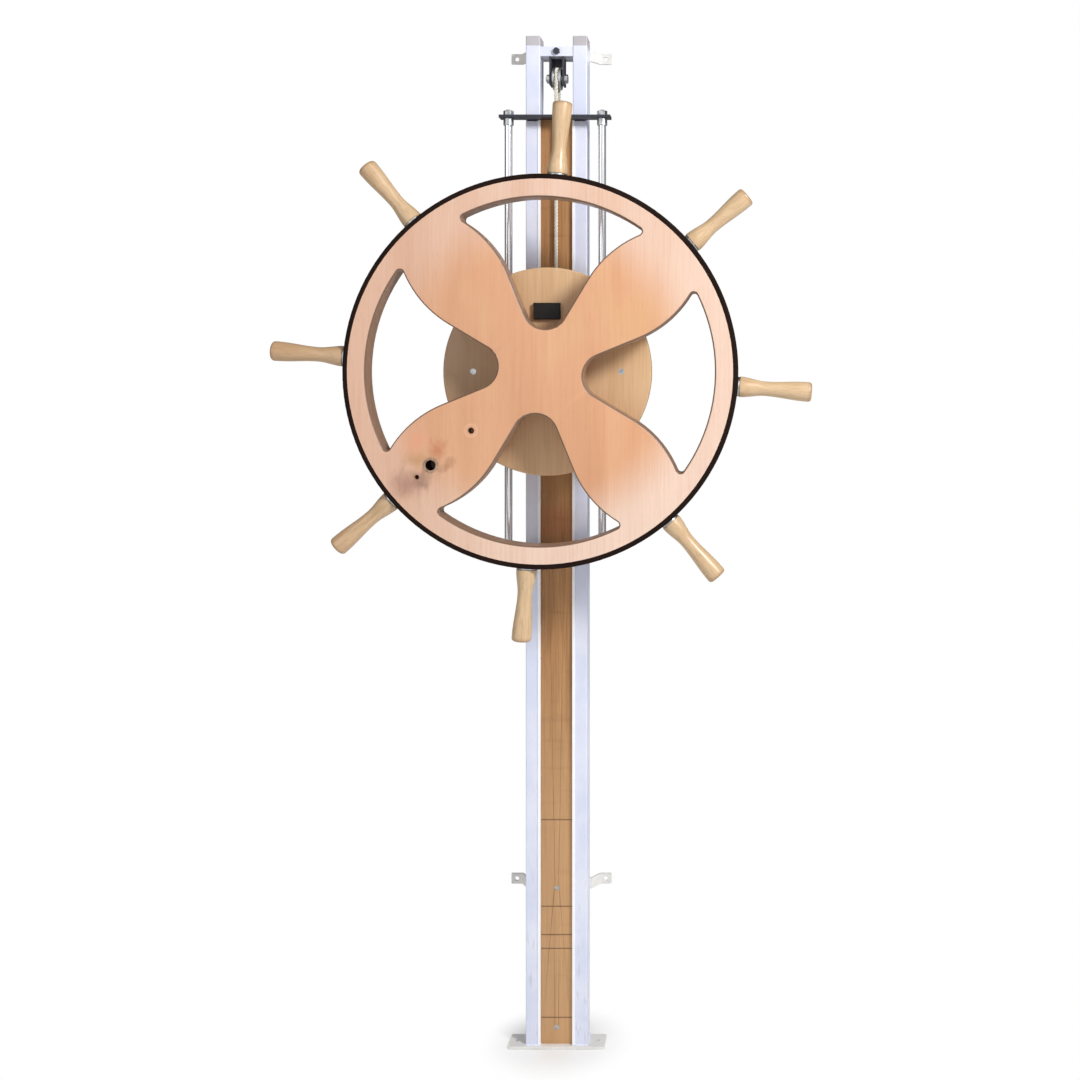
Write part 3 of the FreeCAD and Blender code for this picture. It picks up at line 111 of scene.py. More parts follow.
def stretched(tree, place, centre, scale):
    moved = add_node(tree, "ShaderNodeVectorMath", {0: place, 1: centre}, operation="SUBTRACT")
    scaled = {0: moved.outputs[0], 1: scale}
    return add_node(tree, "ShaderNodeVectorMath", scaled, operation="MULTIPLY").outputs[0]


def noise(tree, place, scale, detail=2.0, distortion=0.0):
    inputs = {"Vector": place, "Scale": scale, "Detail": detail, "Distortion": distortion}
    return add_node(tree, "ShaderNodeTexNoise", inputs).outputs["Fac"]


def calculate(tree, operation, first, second=0.0):
    return add_node(tree, "ShaderNodeMath", {0: first, 1: second}, operation=operation).outputs[0]


def fade(tree, value, start, end, low=0.0, high=1.0):
    inputs = {"Value": value, "From Min": start, "From Max": end, "To Min": low, "To Max": high}
    made = add_node(tree, "ShaderNodeMapRange", inputs, interpolation_type="SMOOTHSTEP")
    return made.outputs["Result"]


def shades(tree, value, stops):
    made = add_node(tree, "ShaderNodeValToRGB", {"Fac": value})
    stop_list = made.color_ramp.elements
    while len(stop_list) < len(stops):
        stop_list.new(0.5)
    for element, (position, colour) in zip(stop_list, stops):
        element.position = position
        element.color = colour
    return made.outputs["Color"]


def blend_colours(tree, share, first, second):
    inputs = {0: share, 6: first, 7: second}
    return add_node(tree, "ShaderNodeMix", inputs, data_type="RGBA").outputs[2]


def tinted(tree, colour, tint, value, start, end, low, high):
    """Blends a tint into a colour by a share that fades from low to high as the value rises."""
    return blend_colours(tree, fade(tree, value, start, end, low, high), colour, tint)


def axes(tree, vector):
    made = add_node(tree, "ShaderNodeSeparateXYZ", {"Vector": vector})
    return made.outputs["X"], made.outputs["Y"], made.outputs["Z"]


def roughen(tree, shader, height, strength, distance):
    inputs = {"Height": height, "Strength": strength, "Distance": distance}
    bump = add_node(tree, "ShaderNodeBump", inputs)
    tree.links.new(bump.outputs["Normal"], shader.inputs["Normal"])


def start_finish(name, roughness, metallic=0.0, coat=0.0):
    material = bpy.data.materials.new("finish_" + name)
    material.use_nodes = True
    tree = material.node_tree
    shader = tree.nodes["Principled BSDF"]
    shader.inputs["Roughness"].default_value = roughness
    shader.inputs["Metallic"].default_value = metallic
    shader.inputs["Coat Weight"].default_value = coat
    shader.inputs["Coat Roughness"].default_value = 0.25
    return material, tree, shader


def colour_is(tree, shader, colour):
    tree.links.new(colour, shader.inputs["Base Color"])


def roughness_is(tree, shader, value):
    tree.links.new(value, shader.inputs["Roughness"])


# Wood finishes

def distance_on_wheel(tree, place, x, z):
    """How far a place is from a spot on the wheel's face, looking straight at the face."""
    flattened = {0: place, 1: (1.0, 0.0, 1.0)}
    flat = add_node(tree, "ShaderNodeVectorMath", flattened, operation="MULTIPLY")
    measured = {0: flat.outputs[0], 1: (AXLE.x + x, 0.0, AXLE.z + z)}
    return add_node(tree, "ShaderNodeVectorMath", measured, operation="DISTANCE").outputs["Value"]


# Stains on the lower left arm: right of and above the axle, radius, strength and colour
SOCKET_HALO = (-0.218, -0.172, 0.046, 0.38, srgb(186, 140, 92))
PINK_STAIN = (-0.238, -0.138, 0.044, 0.34, srgb(230, 146, 106))
OLIVE_STAIN = (-0.238, -0.172, 0.030, 0.48, srgb(178, 134, 80))
ORANGE_STAIN = (-0.196, -0.148, 0.024, 0.62, srgb(184, 104, 62))
BROWN_STAIN = (-0.254, -0.216, 0.046, 0.74, srgb(158, 116, 98))
LOWER_STAIN = (-0.224, -0.205, 0.026, 0.62, srgb(142, 108, 88))
STREAK_NEAR = (-0.188, -0.187, 0.014, 0.58, srgb(150, 104, 70))
STREAK_FAR = (-0.172, -0.172, 0.013, 0.50, srgb(168, 120, 84))
STAINS = (
    SOCKET_HALO,
    PINK_STAIN,
    OLIVE_STAIN,
    ORANGE_STAIN,
    BROWN_STAIN,
    LOWER_STAIN,
    STREAK_NEAR,
    STREAK_FAR,
)
STAIN_RAGGED = 0.040
STAIN_CORE = 0.05

# Pale ring where the varnish has lifted round the inner small hole: its radius and half its width
HOLE_RING_PLACE = (-0.132, -0.113)
HOLE_RING_RADIUS = 0.0115
HOLE_RING_WIDTH = 0.0045


def wheel_wood_finish():
    material, tree, shader = start_finish("wheel_wood", 0.42, coat=0.15)
    place = object_place(tree)
    facing = calculate(tree, "ABSOLUTE", axes(tree, object_facing(tree))[1])

    # Long figure, fine fibre and short pores, all running up the board
    figure = noise(tree, stretched(tree, place, AXLE, (10.0, 10.0, 1.1)), 1.0, 3.0, 0.7)
    patches = noise(tree, stretched(tree, place, AXLE, (7.0, 7.0, 5.0)), 1.0, 2.0)
    fibre = noise(tree, stretched(tree, place, AXLE, (330.0, 330.0, 7.0)), 1.0, 2.0)
    pores = noise(tree, stretched(tree, place, AXLE, (620.0, 620.0, 34.0)), 1.0, 1.0)
    arms = shades(tree, figure, [
        (0.25, srgb(198, 140, 102)),
        (0.45, srgb(214, 160, 122)),
        (0.58, srgb(220, 168, 130)),
        (0.78, srgb(206, 148, 104)),
    ])
    arms = tinted(tree, arms, srgb(218, 176, 130), patches, 0.52, 0.72, 0.0, 0.55)
    rim = shades(tree, figure, [
        (0.25, srgb(212, 172, 150)),
        (0.55, srgb(226, 196, 178)),
        (0.80, srgb(218, 180, 156)),
    ])
    # Painted light: the rim is palest towards the lamp, right and below, and the arms are tinted redder
    # there
    across, _, upward = axes(tree, stretched(tree, place, AXLE, (1.0, 1.0, 1.0)))
    lit = fade(tree, calculate(tree, "SUBTRACT", across, upward), -0.10, 0.36, 0.0, 0.60)
    rim = blend_colours(tree, lit, rim, srgb(242, 220, 204))
    arms = tinted(tree, arms, srgb(214, 150, 104), across, 0.02, 0.26, 0.0, 0.35)
    rim_share = fade(tree, distance_on_wheel(tree, place, 0.0, 0.0), 0.22, 0.34, 0.0, 0.85)
    face = blend_colours(tree, rim_share, arms, rim)
    # Painted shade: the face darkens towards the left, away from the lamp
    left_painted_shade = fade(tree, across, -0.34, 0.10, 0.42, 0.0)
    face = blend_colours(tree, left_painted_shade, face, srgb(204, 152, 118))
    face = tinted(tree, face, srgb(184, 128, 94), fibre, 0.40, 0.75, 0.0, 0.16)
    face = tinted(tree, face, srgb(142, 92, 64), pores, 0.66, 0.74, 0.0, 0.20)

    # Stains and lifted varnish
    ragged = noise(tree, stretched(tree, place, AXLE, (46.0, 46.0, 30.0)), 1.0, 4.0, 0.8)
    ragged = calculate(tree, "MULTIPLY", calculate(tree, "SUBTRACT", ragged, 0.5), STAIN_RAGGED)
    for x, z, radius, strength, colour in STAINS:
        away = calculate(tree, "ADD", distance_on_wheel(tree, place, x, z), ragged)
        share = fade(tree, away, radius * STAIN_CORE, radius, strength, 0.0)
        face = blend_colours(tree, share, face, colour)
    away = distance_on_wheel(tree, place, *HOLE_RING_PLACE)
    away = calculate(tree, "ABSOLUTE", calculate(tree, "SUBTRACT", away, HOLE_RING_RADIUS))
    share = fade(tree, away, 0.0, HOLE_RING_WIDTH, 0.40, 0.0)
    face = blend_colours(tree, share, face, srgb(232, 188, 154))

    # The sawn walls are darker than the face, as end grain and as painted shade, and the rounding
    # between is darkest, a painted shade line
    wall = shades(tree, fibre, [(0.3, srgb(138, 106, 84)), (0.7, srgb(162, 128, 104))])
    body = blend_colours(tree, fade(tree, facing, 0.10, 0.40), wall, srgb(122, 94, 76))
    body = blend_colours(tree, fade(tree, facing, 0.90, 0.992), body, face)
    colour_is(tree, shader, body)
    roughness_is(tree, shader, fade(tree, fibre, 0.3, 0.8, 0.36, 0.52))
    roughen(tree, shader, fibre, 0.10, 0.0006)
    return material


def ply_lines(tree, place, front, thickness, layers):
    """Shares of light and dark layers through the thickness of a plywood piece."""
    depth = calculate(tree, "SUBTRACT", axes(tree, place)[1], front)
    layer = calculate(tree, "MULTIPLY", depth, layers / thickness)
    return calculate(tree, "PINGPONG", layer, 1.0)


def disc_wood_finish():
    material, tree, shader = start_finish("disc_wood", 0.45, coat=0.12)
    place = object_place(tree)
    facing = calculate(tree, "ABSOLUTE", axes(tree, object_facing(tree))[1])
    figure = noise(tree, stretched(tree, place, AXLE, (11.0, 11.0, 1.4)), 1.0, 3.0, 0.8)
    fibre = noise(tree, stretched(tree, place, AXLE, (300.0, 300.0, 9.0)), 1.0, 2.0)
    face = shades(tree, figure, [
        (0.25, srgb(202, 160, 116)),
        (0.50, srgb(220, 182, 140)),
        (0.75, srgb(210, 168, 122)),
    ])
    face = tinted(tree, face, srgb(166, 124, 80), fibre, 0.42, 0.76, 0.0, 0.24)
    # Painted shadow of the wheel's arms: the disc darkens towards the left
    left_painted_shade = fade(tree, axes(tree, place)[0], AXLE.x - 0.20, AXLE.x - 0.02, 0.50, 0.0)
    face = blend_colours(tree, left_painted_shade, face, srgb(128, 106, 90))
    disc_low, disc_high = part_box("backing_disc")
    layers = ply_lines(tree, place, disc_low.y, disc_high.y - disc_low.y, 9)
    edge = shades(tree, layers, [(0.35, srgb(150, 108, 70)), (0.65, srgb(216, 182, 136))])
    colour_is(tree, shader, blend_colours(tree, fade(tree, facing, 0.3, 0.8), edge, face))
    roughen(tree, shader, fibre, 0.12, 0.0006)
    return material


def handle_wood_finish():
    """The grain runs out from the axle, along each handle."""
    material, tree, shader = start_finish("handle_wood", 0.40, coat=0.25)
    moved = stretched(tree, object_place(tree), AXLE, (1.0, 1.0, 1.0))
    across, depth, upward = axes(tree, moved)
    angle = calculate(tree, "ARCTAN2", upward, across)
    across_squared = calculate(tree, "MULTIPLY", across, across)
    upward_squared = calculate(tree, "MULTIPLY", upward, upward)
    reach = calculate(tree, "SQRT", calculate(tree, "ADD", across_squared, upward_squared))
    sideways = calculate(tree, "MULTIPLY", angle, HANDLE_BASE)
    along = calculate(tree, "MULTIPLY", reach, 0.06)
    grain = {"X": sideways, "Y": depth, "Z": along}
    grain_place = add_node(tree, "ShaderNodeCombineXYZ", grain).outputs[0]
    figure = noise(tree, grain_place, 70.0, 3.0, 0.5)
    fibre = noise(tree, grain_place, 420.0, 2.0)
    colour = shades(tree, figure, [
        (0.25, srgb(190, 154, 114)),
        (0.50, srgb(212, 182, 144)),
        (0.75, srgb(200, 166, 124)),
    ])
    colour = tinted(tree, colour, srgb(148, 106, 66), fibre, 0.42, 0.76, 0.0, 0.30)
    # The tip is darker over its last centimetre: painted shade on its rounding, with darker end grain
    tip_share = fade(tree, reach, HANDLE_TIP - 0.010, HANDLE_TIP, 0.0, 0.55)
    colour = blend_colours(tree, tip_share, colour, srgb(140, 102, 64))
    # Painted shade: the handles darken towards the left, away from the lamp
    left_painted_shade = fade(tree, across, -0.50, -0.20, 0.45, 0.0)
    colour = blend_colours(tree, left_painted_shade, colour, srgb(170, 128, 92))
    colour_is(tree, shader, colour)
    roughen(tree, shader, fibre, 0.10, 0.0004)
    return material


BOARD_JOINTS = (0.061, 0.205, 0.234, 0.293, 0.474)
BOARD_JOINT_HALF = 0.0011
RED_PATCH = 1.095


def board_wood_finish():
    material, tree, shader = start_finish("board_wood", 0.58)
    place = object_place(tree)
    across, _, upward = axes(tree, place)
    height = calculate(tree, "SUBTRACT", upward, FLOOR)
    figure = noise(tree, stretched(tree, place, AXLE, (26.0, 26.0, 1.6)), 1.0, 4.0, 0.7)
    fibre = noise(tree, stretched(tree, place, AXLE, (420.0, 420.0, 11.0)), 1.0, 2.0)
    rings = noise(tree, stretched(tree, place, AXLE, (8.0, 8.0, 60.0)), 1.0, 2.0, 0.3)
    colour = shades(tree, figure, [
        (0.25, srgb(150, 104, 60)),
        (0.50, srgb(182, 134, 86)),
        (0.75, srgb(166, 118, 70)),
    ])
    # The left half is a shade darker, as if two strips were glued side by side
    colour = tinted(tree, colour, srgb(132, 88, 50), across, -0.004, 0.003, 0.28, 0.0)
    colour = tinted(tree, colour, srgb(116, 76, 42), fibre, 0.42, 0.74, 0.0, 0.35)
    colour = tinted(tree, colour, srgb(120, 78, 44), rings, 0.58, 0.70, 0.0, 0.22)
    # Below the wheel the board turns paler towards the floor
    colour = tinted(tree, colour, srgb(222, 180, 134), height, 0.35, 0.95, 0.42, 0.0)
    red = calculate(tree, "ABSOLUTE", calculate(tree, "SUBTRACT", height, RED_PATCH))
    colour = tinted(tree, colour, srgb(160, 82, 46), red, 0.015, 0.050, 0.35, 0.0)
    for joint in BOARD_JOINTS:
        away = calculate(tree, "ABSOLUTE", calculate(tree, "SUBTRACT", height, joint))
        share = fade(tree, away, BOARD_JOINT_HALF * 0.5, BOARD_JOINT_HALF * 1.8, 0.7, 0.0)
        colour = blend_colours(tree, share, colour, srgb(84, 52, 28))
    colour_is(tree, shader, colour)
    roughness_is(tree, shader, fade(tree, fibre, 0.3, 0.8, 0.48, 0.72))
    roughen(tree, shader, fibre, 0.20, 0.0008)
    return material


# Paint, plastic and rubber finishes

def coated_finish(name, light, dark, roughness, grain, bump, coat=0.0, patchy=0.35, shine=0.5):
    """A painted, moulded or rubber surface: a mottled colour over a fine skin texture."""
    material, tree, shader = start_finish(name, roughness, coat=coat)
    shader.inputs["Specular IOR Level"].default_value = shine
    place = object_place(tree)
    mottle = noise(tree, place, 14.0, 4.0)
    skin = noise(tree, place, grain, 2.0)
    colour = blend_colours(tree, fade(tree, mottle, 0.35, 0.75, 0.0, patchy), light, dark)
    colour = tinted(tree, colour, dark, skin, 0.45, 0.80, 0.0, 0.12)
    colour_is(tree, shader, colour)
    roughness_is(tree, shader, fade(tree, mottle, 0.3, 0.8, roughness - 0.06, roughness + 0.10))
    roughen(tree, shader, skin, bump, 0.0004)
    return material


def rail_paint_finish():
    """Powder coat, a little scuffed and dusty near the floor."""
    material, tree, shader = start_finish("rail_paint", 0.34, coat=0.2)
    place = object_place(tree)
    height = calculate(tree, "SUBTRACT", axes(tree, place)[2], FLOOR)
    mottle = noise(tree, place, 9.0, 4.0)
    scuff = noise(tree, stretched(tree, place, AXLE, (160.0, 160.0, 28.0)), 1.0, 5.0)
    mottled = fade(tree, mottle, 0.35, 0.70)
    colour = blend_colours(tree, mottled, srgb(214, 219, 240), srgb(228, 231, 246))
    low = fade(tree, height, 0.0, 0.5, 0.32, 0.05)
    share = calculate(tree, "MULTIPLY", low, fade(tree, scuff, 0.56, 0.70))
    colour = blend_colours(tree, share, colour, srgb(150, 148, 156))
    colour_is(tree, shader, colour)
    roughness_is(tree, shader, fade(tree, scuff, 0.3, 0.7, 0.30, 0.46))
    roughen(tree, shader, noise(tree, place, 700.0, 1.0), 0.06, 0.0004)
    return material


# Metal finishes

def metal_finish(name, light, dark, roughness, lay, bump=0.05, spread=0.12, metallic=1.0):
    """Bare or plated metal: lay stretches the tool marks along one direction."""
    material, tree, shader = start_finish(name, roughness, metallic=metallic)
    place = object_place(tree)
    marks = noise(tree, stretched(tree, place, AXLE, lay), 1.0, 3.0)
    tarnish = noise(tree, place, 34.0, 4.0)
    colour = shades(tree, marks, [(0.30, dark), (0.70, light)])
    colour = tinted(tree, colour, dark, tarnish, 0.50, 0.80, 0.0, 0.35)
    colour_is(tree, shader, colour)
    roughness_is(tree, shader, fade(tree, marks, 0.3, 0.7, roughness, roughness + spread))
    roughen(tree, shader, marks, bump, 0.0003)
    return material


def socket_finish():
    """Plated steel: the flange stays light, and the inside of the bore is painted dark as shade."""
    material, tree, shader = start_finish("socket_steel", 0.45)
    place = object_place(tree)
    facing = calculate(tree, "ABSOLUTE", axes(tree, object_facing(tree))[1])
    tarnish = noise(tree, place, 160.0, 4.0)
    flange = shades(tree, tarnish, [(0.30, srgb(140, 112, 92)), (0.70, srgb(190, 160, 138))])
    # Painted shade: the bore is coloured near black
    bore = shades(tree, tarnish, [(0.30, srgb(16, 10, 7)), (0.70, srgb(34, 23, 16))])
    share = fade(tree, facing, 0.35, 0.85)
    colour_is(tree, shader, blend_colours(tree, share, bore, flange))
    tree.links.new(fade(tree, facing, 0.35, 0.85, 0.0, 0.35), shader.inputs["Metallic"])
    shader.inputs["Specular IOR Level"].default_value = 0.15
    roughen(tree, shader, tarnish, 0.20, 0.0003)
    return material


def cord_finish():
    """Whitish rope fibre, soiled where it runs."""
    material, tree, shader = start_finish("cord_fibre", 0.85)
    place = object_place(tree)
    yarn = noise(tree, stretched(tree, place, AXLE, (900.0, 900.0, 260.0)), 1.0, 2.0)
    soil = noise(tree, place, 22.0, 3.0)
    colour = shades(tree, yarn, [(0.32, srgb(196, 188, 172)), (0.62, srgb(238, 234, 222))])
    colour = tinted(tree, colour, srgb(150, 140, 124), soil, 0.50, 0.78, 0.0, 0.4)
    shader.inputs["Sheen Weight"].default_value = 0.3
    colour_is(tree, shader, colour)
    roughen(tree, shader, yarn, 0.5, 0.0006)
    return material


FINISHES = {
    "wheel_wood": wheel_wood_finish(),
    "disc_wood": disc_wood_finish(),
    "handle_wood": handle_wood_finish(),
    "board_wood": board_wood_finish(),
    "rail_paint": rail_paint_finish(),
    "cord_fibre": cord_finish(),
    "socket_steel": socket_finish(),
    "cap_plastic": coated_finish(
        "cap_plastic", srgb(188, 184, 188), srgb(150, 146, 150), 0.50, 420.0, 0.15),
    "bracket_steel": coated_finish(
        "bracket_steel", srgb(232, 230, 226), srgb(188, 186, 182), 0.42, 260.0, 0.10, 0.1),
    # The edge trim's near-white is a painted highlight along the rails' inner front edges
    "edge_trim": coated_finish(
        "edge_trim", srgb(250, 251, 254), srgb(224, 228, 238), 0.32, 300.0, 0.04, 0.2, 0.20),
    "band_rubber": coated_finish(
        "band_rubber", srgb(30, 16, 10), srgb(14, 8, 5), 0.80, 520.0, 0.30, shine=0.12),
    "knob_plastic": coated_finish(
        "knob_plastic", srgb(30, 28, 28), srgb(15, 14, 14), 0.50, 680.0, 0.20, shine=0.25),
    "weight_iron": coated_finish(
        "weight_iron", srgb(74, 75, 78), srgb(48, 48, 50), 0.60, 150.0, 0.45, 0.05),
    "dark_steel": coated_finish(
        "dark_steel", srgb(50, 50, 60), srgb(28, 28, 36), 0.42, 340.0, 0.10, 0.1, shine=0.35),
    "plain_steel": metal_finish(
        "plain_steel", srgb(206, 208, 210), srgb(146, 150, 154), 0.30, (120.0, 120.0, 120.0)),
    "rod_chrome": metal_finish(
        "rod_chrome", srgb(238, 239, 242), srgb(216, 218, 224), 0.10, (260.0, 260.0, 8.0),
        bump=0.01, spread=0.06, metallic=0.8),
    "block_aluminium": metal_finish(
        "block_aluminium", srgb(218, 220, 224), srgb(176, 179, 184), 0.32, (30.0, 30.0, 600.0), 0.08),
    "bush_bronze": metal_finish(
        "bush_bronze", srgb(214, 172, 104), srgb(150, 110, 60), 0.28, (500.0, 500.0, 40.0)),
    "bearing_steel": metal_finish(
        "bearing_steel", srgb(222, 223, 226), srgb(186, 188, 192), 0.18, (60.0, 600.0, 60.0), 0.03),
}


# Construction pieces: welded, smooth between their corners, with a slightly worn edge

CORNER_ANGLE = math.radians(32.0)
WORN_EDGE = 0.0005
WELD_DISTANCE = 0.00001


def greater_than(tree, value, limit):
    inputs = {"A": value, "B": limit}
    made = add_node(tree, "FunctionNodeCompare", inputs, data_type="FLOAT", operation="GREATER_THAN")
    return made.outputs["Result"]


def crisp_shading():
    tree = bpy.data.node_groups.new("crisp_shading", "GeometryNodeTree")
    tree.interface.new_socket("Geometry", in_out="INPUT", socket_type="NodeSocketGeometry")
    tree.interface.new_socket("Geometry", in_out="OUTPUT", socket_type="NodeSocketGeometry")
    taken = tree.nodes.new("NodeGroupInput")
    named = {"Geometry": taken.outputs[0], "Name": "custom_normal"}
    plain = add_node(tree, "GeometryNodeRemoveAttribute", named)
    close = {"Geometry": plain.outputs[0], "Distance": WELD_DISTANCE}
    welded = add_node(tree, "GeometryNodeMergeByDistance", close)
    rounded = {"Geometry": welded.outputs[0], "Shade Smooth": True}
    smooth = add_node(tree, "GeometryNodeSetShadeSmooth", rounded)
    turn = tree.nodes.new("GeometryNodeInputMeshEdgeAngle").outputs["Unsigned Angle"]
    sharp = greater_than(tree, turn, CORNER_ANGLE)
    corners = {"Geometry": smooth.outputs[0], "Selection": sharp, "Shade Smooth": False}
    creased = add_node(tree, "GeometryNodeSetShadeSmooth", corners, domain="EDGE")
    given = tree.nodes.new("NodeGroupOutput")
    tree.links.new(creased.outputs[0], given.inputs[0])
    return tree


def wear_edges(piece, width):
    worn = piece.modifiers.new("worn_edge", "BEVEL")
    worn.width = width
    worn.segments = 2
    worn.limit_method = "ANGLE"
    worn.angle_limit = CORNER_ANGLE
    worn.harden_normals = True


CRISP = crisp_shading()
for piece in frame["nodes"].values():
    for place_for_finish in piece.material_slots:
        place_for_finish.material = FINISHES[place_for_finish.material.name]
    shading = piece.modifiers.new("crisp_shading", "NODES")
    shading.node_group = CRISP
    wear_edges(piece, WORN_EDGE)


# Small helpers for modelled pieces

def finished(name, shape, body, slot_name, replaced=()):
    """Makes a piece of a bmesh, with its finish, riding on its body when one is given."""
    mesh = bpy.data.meshes.new(name)
    shape.to_mesh(mesh)
    shape.free()
    mesh.materials.append(FINISHES[slot_name])
    mesh.shade_smooth()
    mesh.set_sharp_from_angle(angle=CORNER_ANGLE)
    piece = bpy.data.objects.new(name, mesh)
    bpy.context.scene.collection.objects.link(piece)
    if body:
        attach(piece, body)
    if replaced:
        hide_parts(*replaced)
    return piece


def placed(start, direction):
    return Matrix.Translation(start) @ direction.to_track_quat("Z", "Y").to_matrix().to_4x4()


def turned(shape, profile, place, steps=48):
    """Spins a profile of distances along the axis and radii, as on a lathe, and puts it in place."""
    before = set(shape.verts)
    line = [shape.verts.new((radius, 0.0, along)) for along, radius in profile]
    edges = [shape.edges.new(pair) for pair in zip(line, line[1:])]
    bmesh.ops.spin(shape, geom=line + edges, cent=(0, 0, 0), axis=(0, 0, 1), dvec=(0, 0, 0),
                   angle=math.tau, steps=steps, use_merge=True, use_duplicate=False)
    bmesh.ops.remove_doubles(shape, verts=[v for v in shape.verts if v not in before], dist=0.000001)
    fresh = [v for v in shape.verts if v not in before]
    faces = list({face for v in fresh for face in v.link_faces})
    bmesh.ops.recalc_face_normals(shape, faces=faces)
    bmesh.ops.transform(shape, matrix=place, verts=fresh)


def wheel_direction(index):
    angle = math.pi / 2 - WHEEL_TURN + index * math.tau / HANDLES
    return Vector((math.cos(angle), 0.0, math.sin(angle)))


def wheel_point(direction, reach, depth):
    return Vector((AXLE.x, depth, AXLE.z)) + direction * reach


# Turned wooden handles

HANDLE_BASE_RADIUS = 0.020
HANDLE_WAIST_RADIUS = 0.014
HANDLE_TIP_RADIUS = 0.019
HANDLE_WAIST_SHARE = 0.36
HANDLE_SWELL_SHARE = 0.93
HANDLE_EDGE = 0.0055
HANDLE_STEPS = 56
HANDLE_CHAMFER = 0.0012
WAIST_STEPS = 14
SWELL_STEPS = 18
TIP_STEPS = 8


def eased(share):
    return share * share * (3 - 2 * share)


def handle_profile():
    length = HANDLE_TIP - HANDLE_BASE
    waist = HANDLE_WAIST_SHARE * length
    swell = HANDLE_SWELL_SHARE * length
    profile = [
        (0.0, 0.0),
        (0.0, HANDLE_BASE_RADIUS - HANDLE_CHAMFER),
        (HANDLE_CHAMFER, HANDLE_BASE_RADIUS),
    ]
    for step in range(1, WAIST_STEPS + 1):
        share = step / WAIST_STEPS
        radius = HANDLE_BASE_RADIUS + (HANDLE_WAIST_RADIUS - HANDLE_BASE_RADIUS) * eased(share)
        profile.append((HANDLE_CHAMFER + (waist - HANDLE_CHAMFER) * share, radius))
    for step in range(1, SWELL_STEPS + 1):
        share = step / SWELL_STEPS
        radius = HANDLE_WAIST_RADIUS + (HANDLE_TIP_RADIUS - HANDLE_WAIST_RADIUS) * eased(share)
        profile.append((waist + (swell - waist) * share, radius))
    for step in range(TIP_STEPS + 1):
        turn = math.pi / 2 * step / TIP_STEPS
        along = length - HANDLE_EDGE + HANDLE_EDGE * math.sin(turn)
        profile.append((along, HANDLE_TIP_RADIUS - HANDLE_EDGE + HANDLE_EDGE * math.cos(turn)))
    profile.append((length, 0.0))
    return profile


def make_handles():
    shape = bmesh.new()
    for index in range(HANDLES):
        direction = wheel_direction(index)
        place = placed(wheel_point(direction, HANDLE_BASE, WHEEL_MIDDLE), direction)
        turned(shape, handle_profile(), place, HANDLE_STEPS)
    finished("turned_handles", shape, "wheel", "handle_wood", ["handles"])


# Guide rods with their cut threads

ROD_RADIUS = 0.008
ROD_CHAMFER = 0.0006
ROD_STEPS = 40
THREAD_RADIUS = 0.006
THREAD_LENGTH = 0.018
THREAD_PITCH = 0.00175
THREAD_DEPTH = 0.0009


def thread_profile(start, count):
    profile = []
    for ridge in range(count):
        along = start + ridge * THREAD_PITCH
        profile.append((along, THREAD_RADIUS - THREAD_DEPTH))
        profile.append((along + THREAD_PITCH / 2, THREAD_RADIUS))
    return profile


def make_guide_rod(side):
    low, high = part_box(side + "_guide_rod")
    length = high.z - low.z
    ridges = int(THREAD_LENGTH / THREAD_PITCH)
    profile = [(0.0, 0.0), (0.0, THREAD_RADIUS - THREAD_DEPTH)]
    profile += thread_profile(ROD_CHAMFER, ridges)
    profile += [
        (THREAD_LENGTH, THREAD_RADIUS - THREAD_DEPTH),
        (THREAD_LENGTH, ROD_RADIUS - ROD_CHAMFER),
        (THREAD_LENGTH + ROD_CHAMFER, ROD_RADIUS),
        (length - THREAD_LENGTH - ROD_CHAMFER, ROD_RADIUS),
        (length - THREAD_LENGTH, ROD_RADIUS - ROD_CHAMFER),
    ]
    profile += thread_profile(length - THREAD_LENGTH, ridges)
    profile += [(length, THREAD_RADIUS - THREAD_DEPTH), (length, 0.0)]
    shape = bmesh.new()
    start = Vector(((low.x + high.x) / 2, (low.y + high.y) / 2, low.z))
    turned(shape, profile, Matrix.Translation(start), ROD_STEPS)
    finished(side + "_threaded_rod", shape, "frame", "rod_chrome", [side + "_guide_rod"])


# Three-strand cord: up from the carriage, over the pulley and down to the counterweight

CORD_RADIUS = 0.004
STRANDS = 3
STRAND_RADIUS = CORD_RADIUS / (1 + 2 / math.sqrt(3))
STRAND_OFFSET = CORD_RADIUS - STRAND_RADIUS
CORD_TURN_RADIUS = 0.020
CORD_PITCH = math.pi * CORD_TURN_RADIUS / 3
STEPS_PER_PITCH = 12
STRAND_SIDES = 8


def twist_strands(shape, centre, length, upward, lead):
    """Three strands wound round the centre line, up or down from it, starting at the lead angle."""
    steps = max(2, round(length / CORD_PITCH * STEPS_PER_PITCH))
    way = 1 if upward else -1
    for strand in range(STRANDS):
        angle = lead + strand * math.tau / STRANDS
        offset = Vector((math.cos(angle), math.sin(angle), 0.0)) * STRAND_OFFSET
        ring = bmesh.ops.create_circle(shape, cap_ends=True, segments=STRAND_SIDES, radius=STRAND_RADIUS,
                                       matrix=Matrix.Translation(centre + offset))["verts"]
        faces = list({face for v in ring for face in v.link_faces})
        edges = list({edge for v in ring for edge in v.link_edges})
        bmesh.ops.spin(shape, geom=faces + edges + ring, cent=centre, axis=(0, 0, 1),
                       dvec=(0, 0, way * length / steps), angle=way * math.tau * length / CORD_PITCH,
                       steps=steps, use_merge=False, use_duplicate=False)
    bmesh.ops.recalc_face_normals(shape, faces=shape.faces)


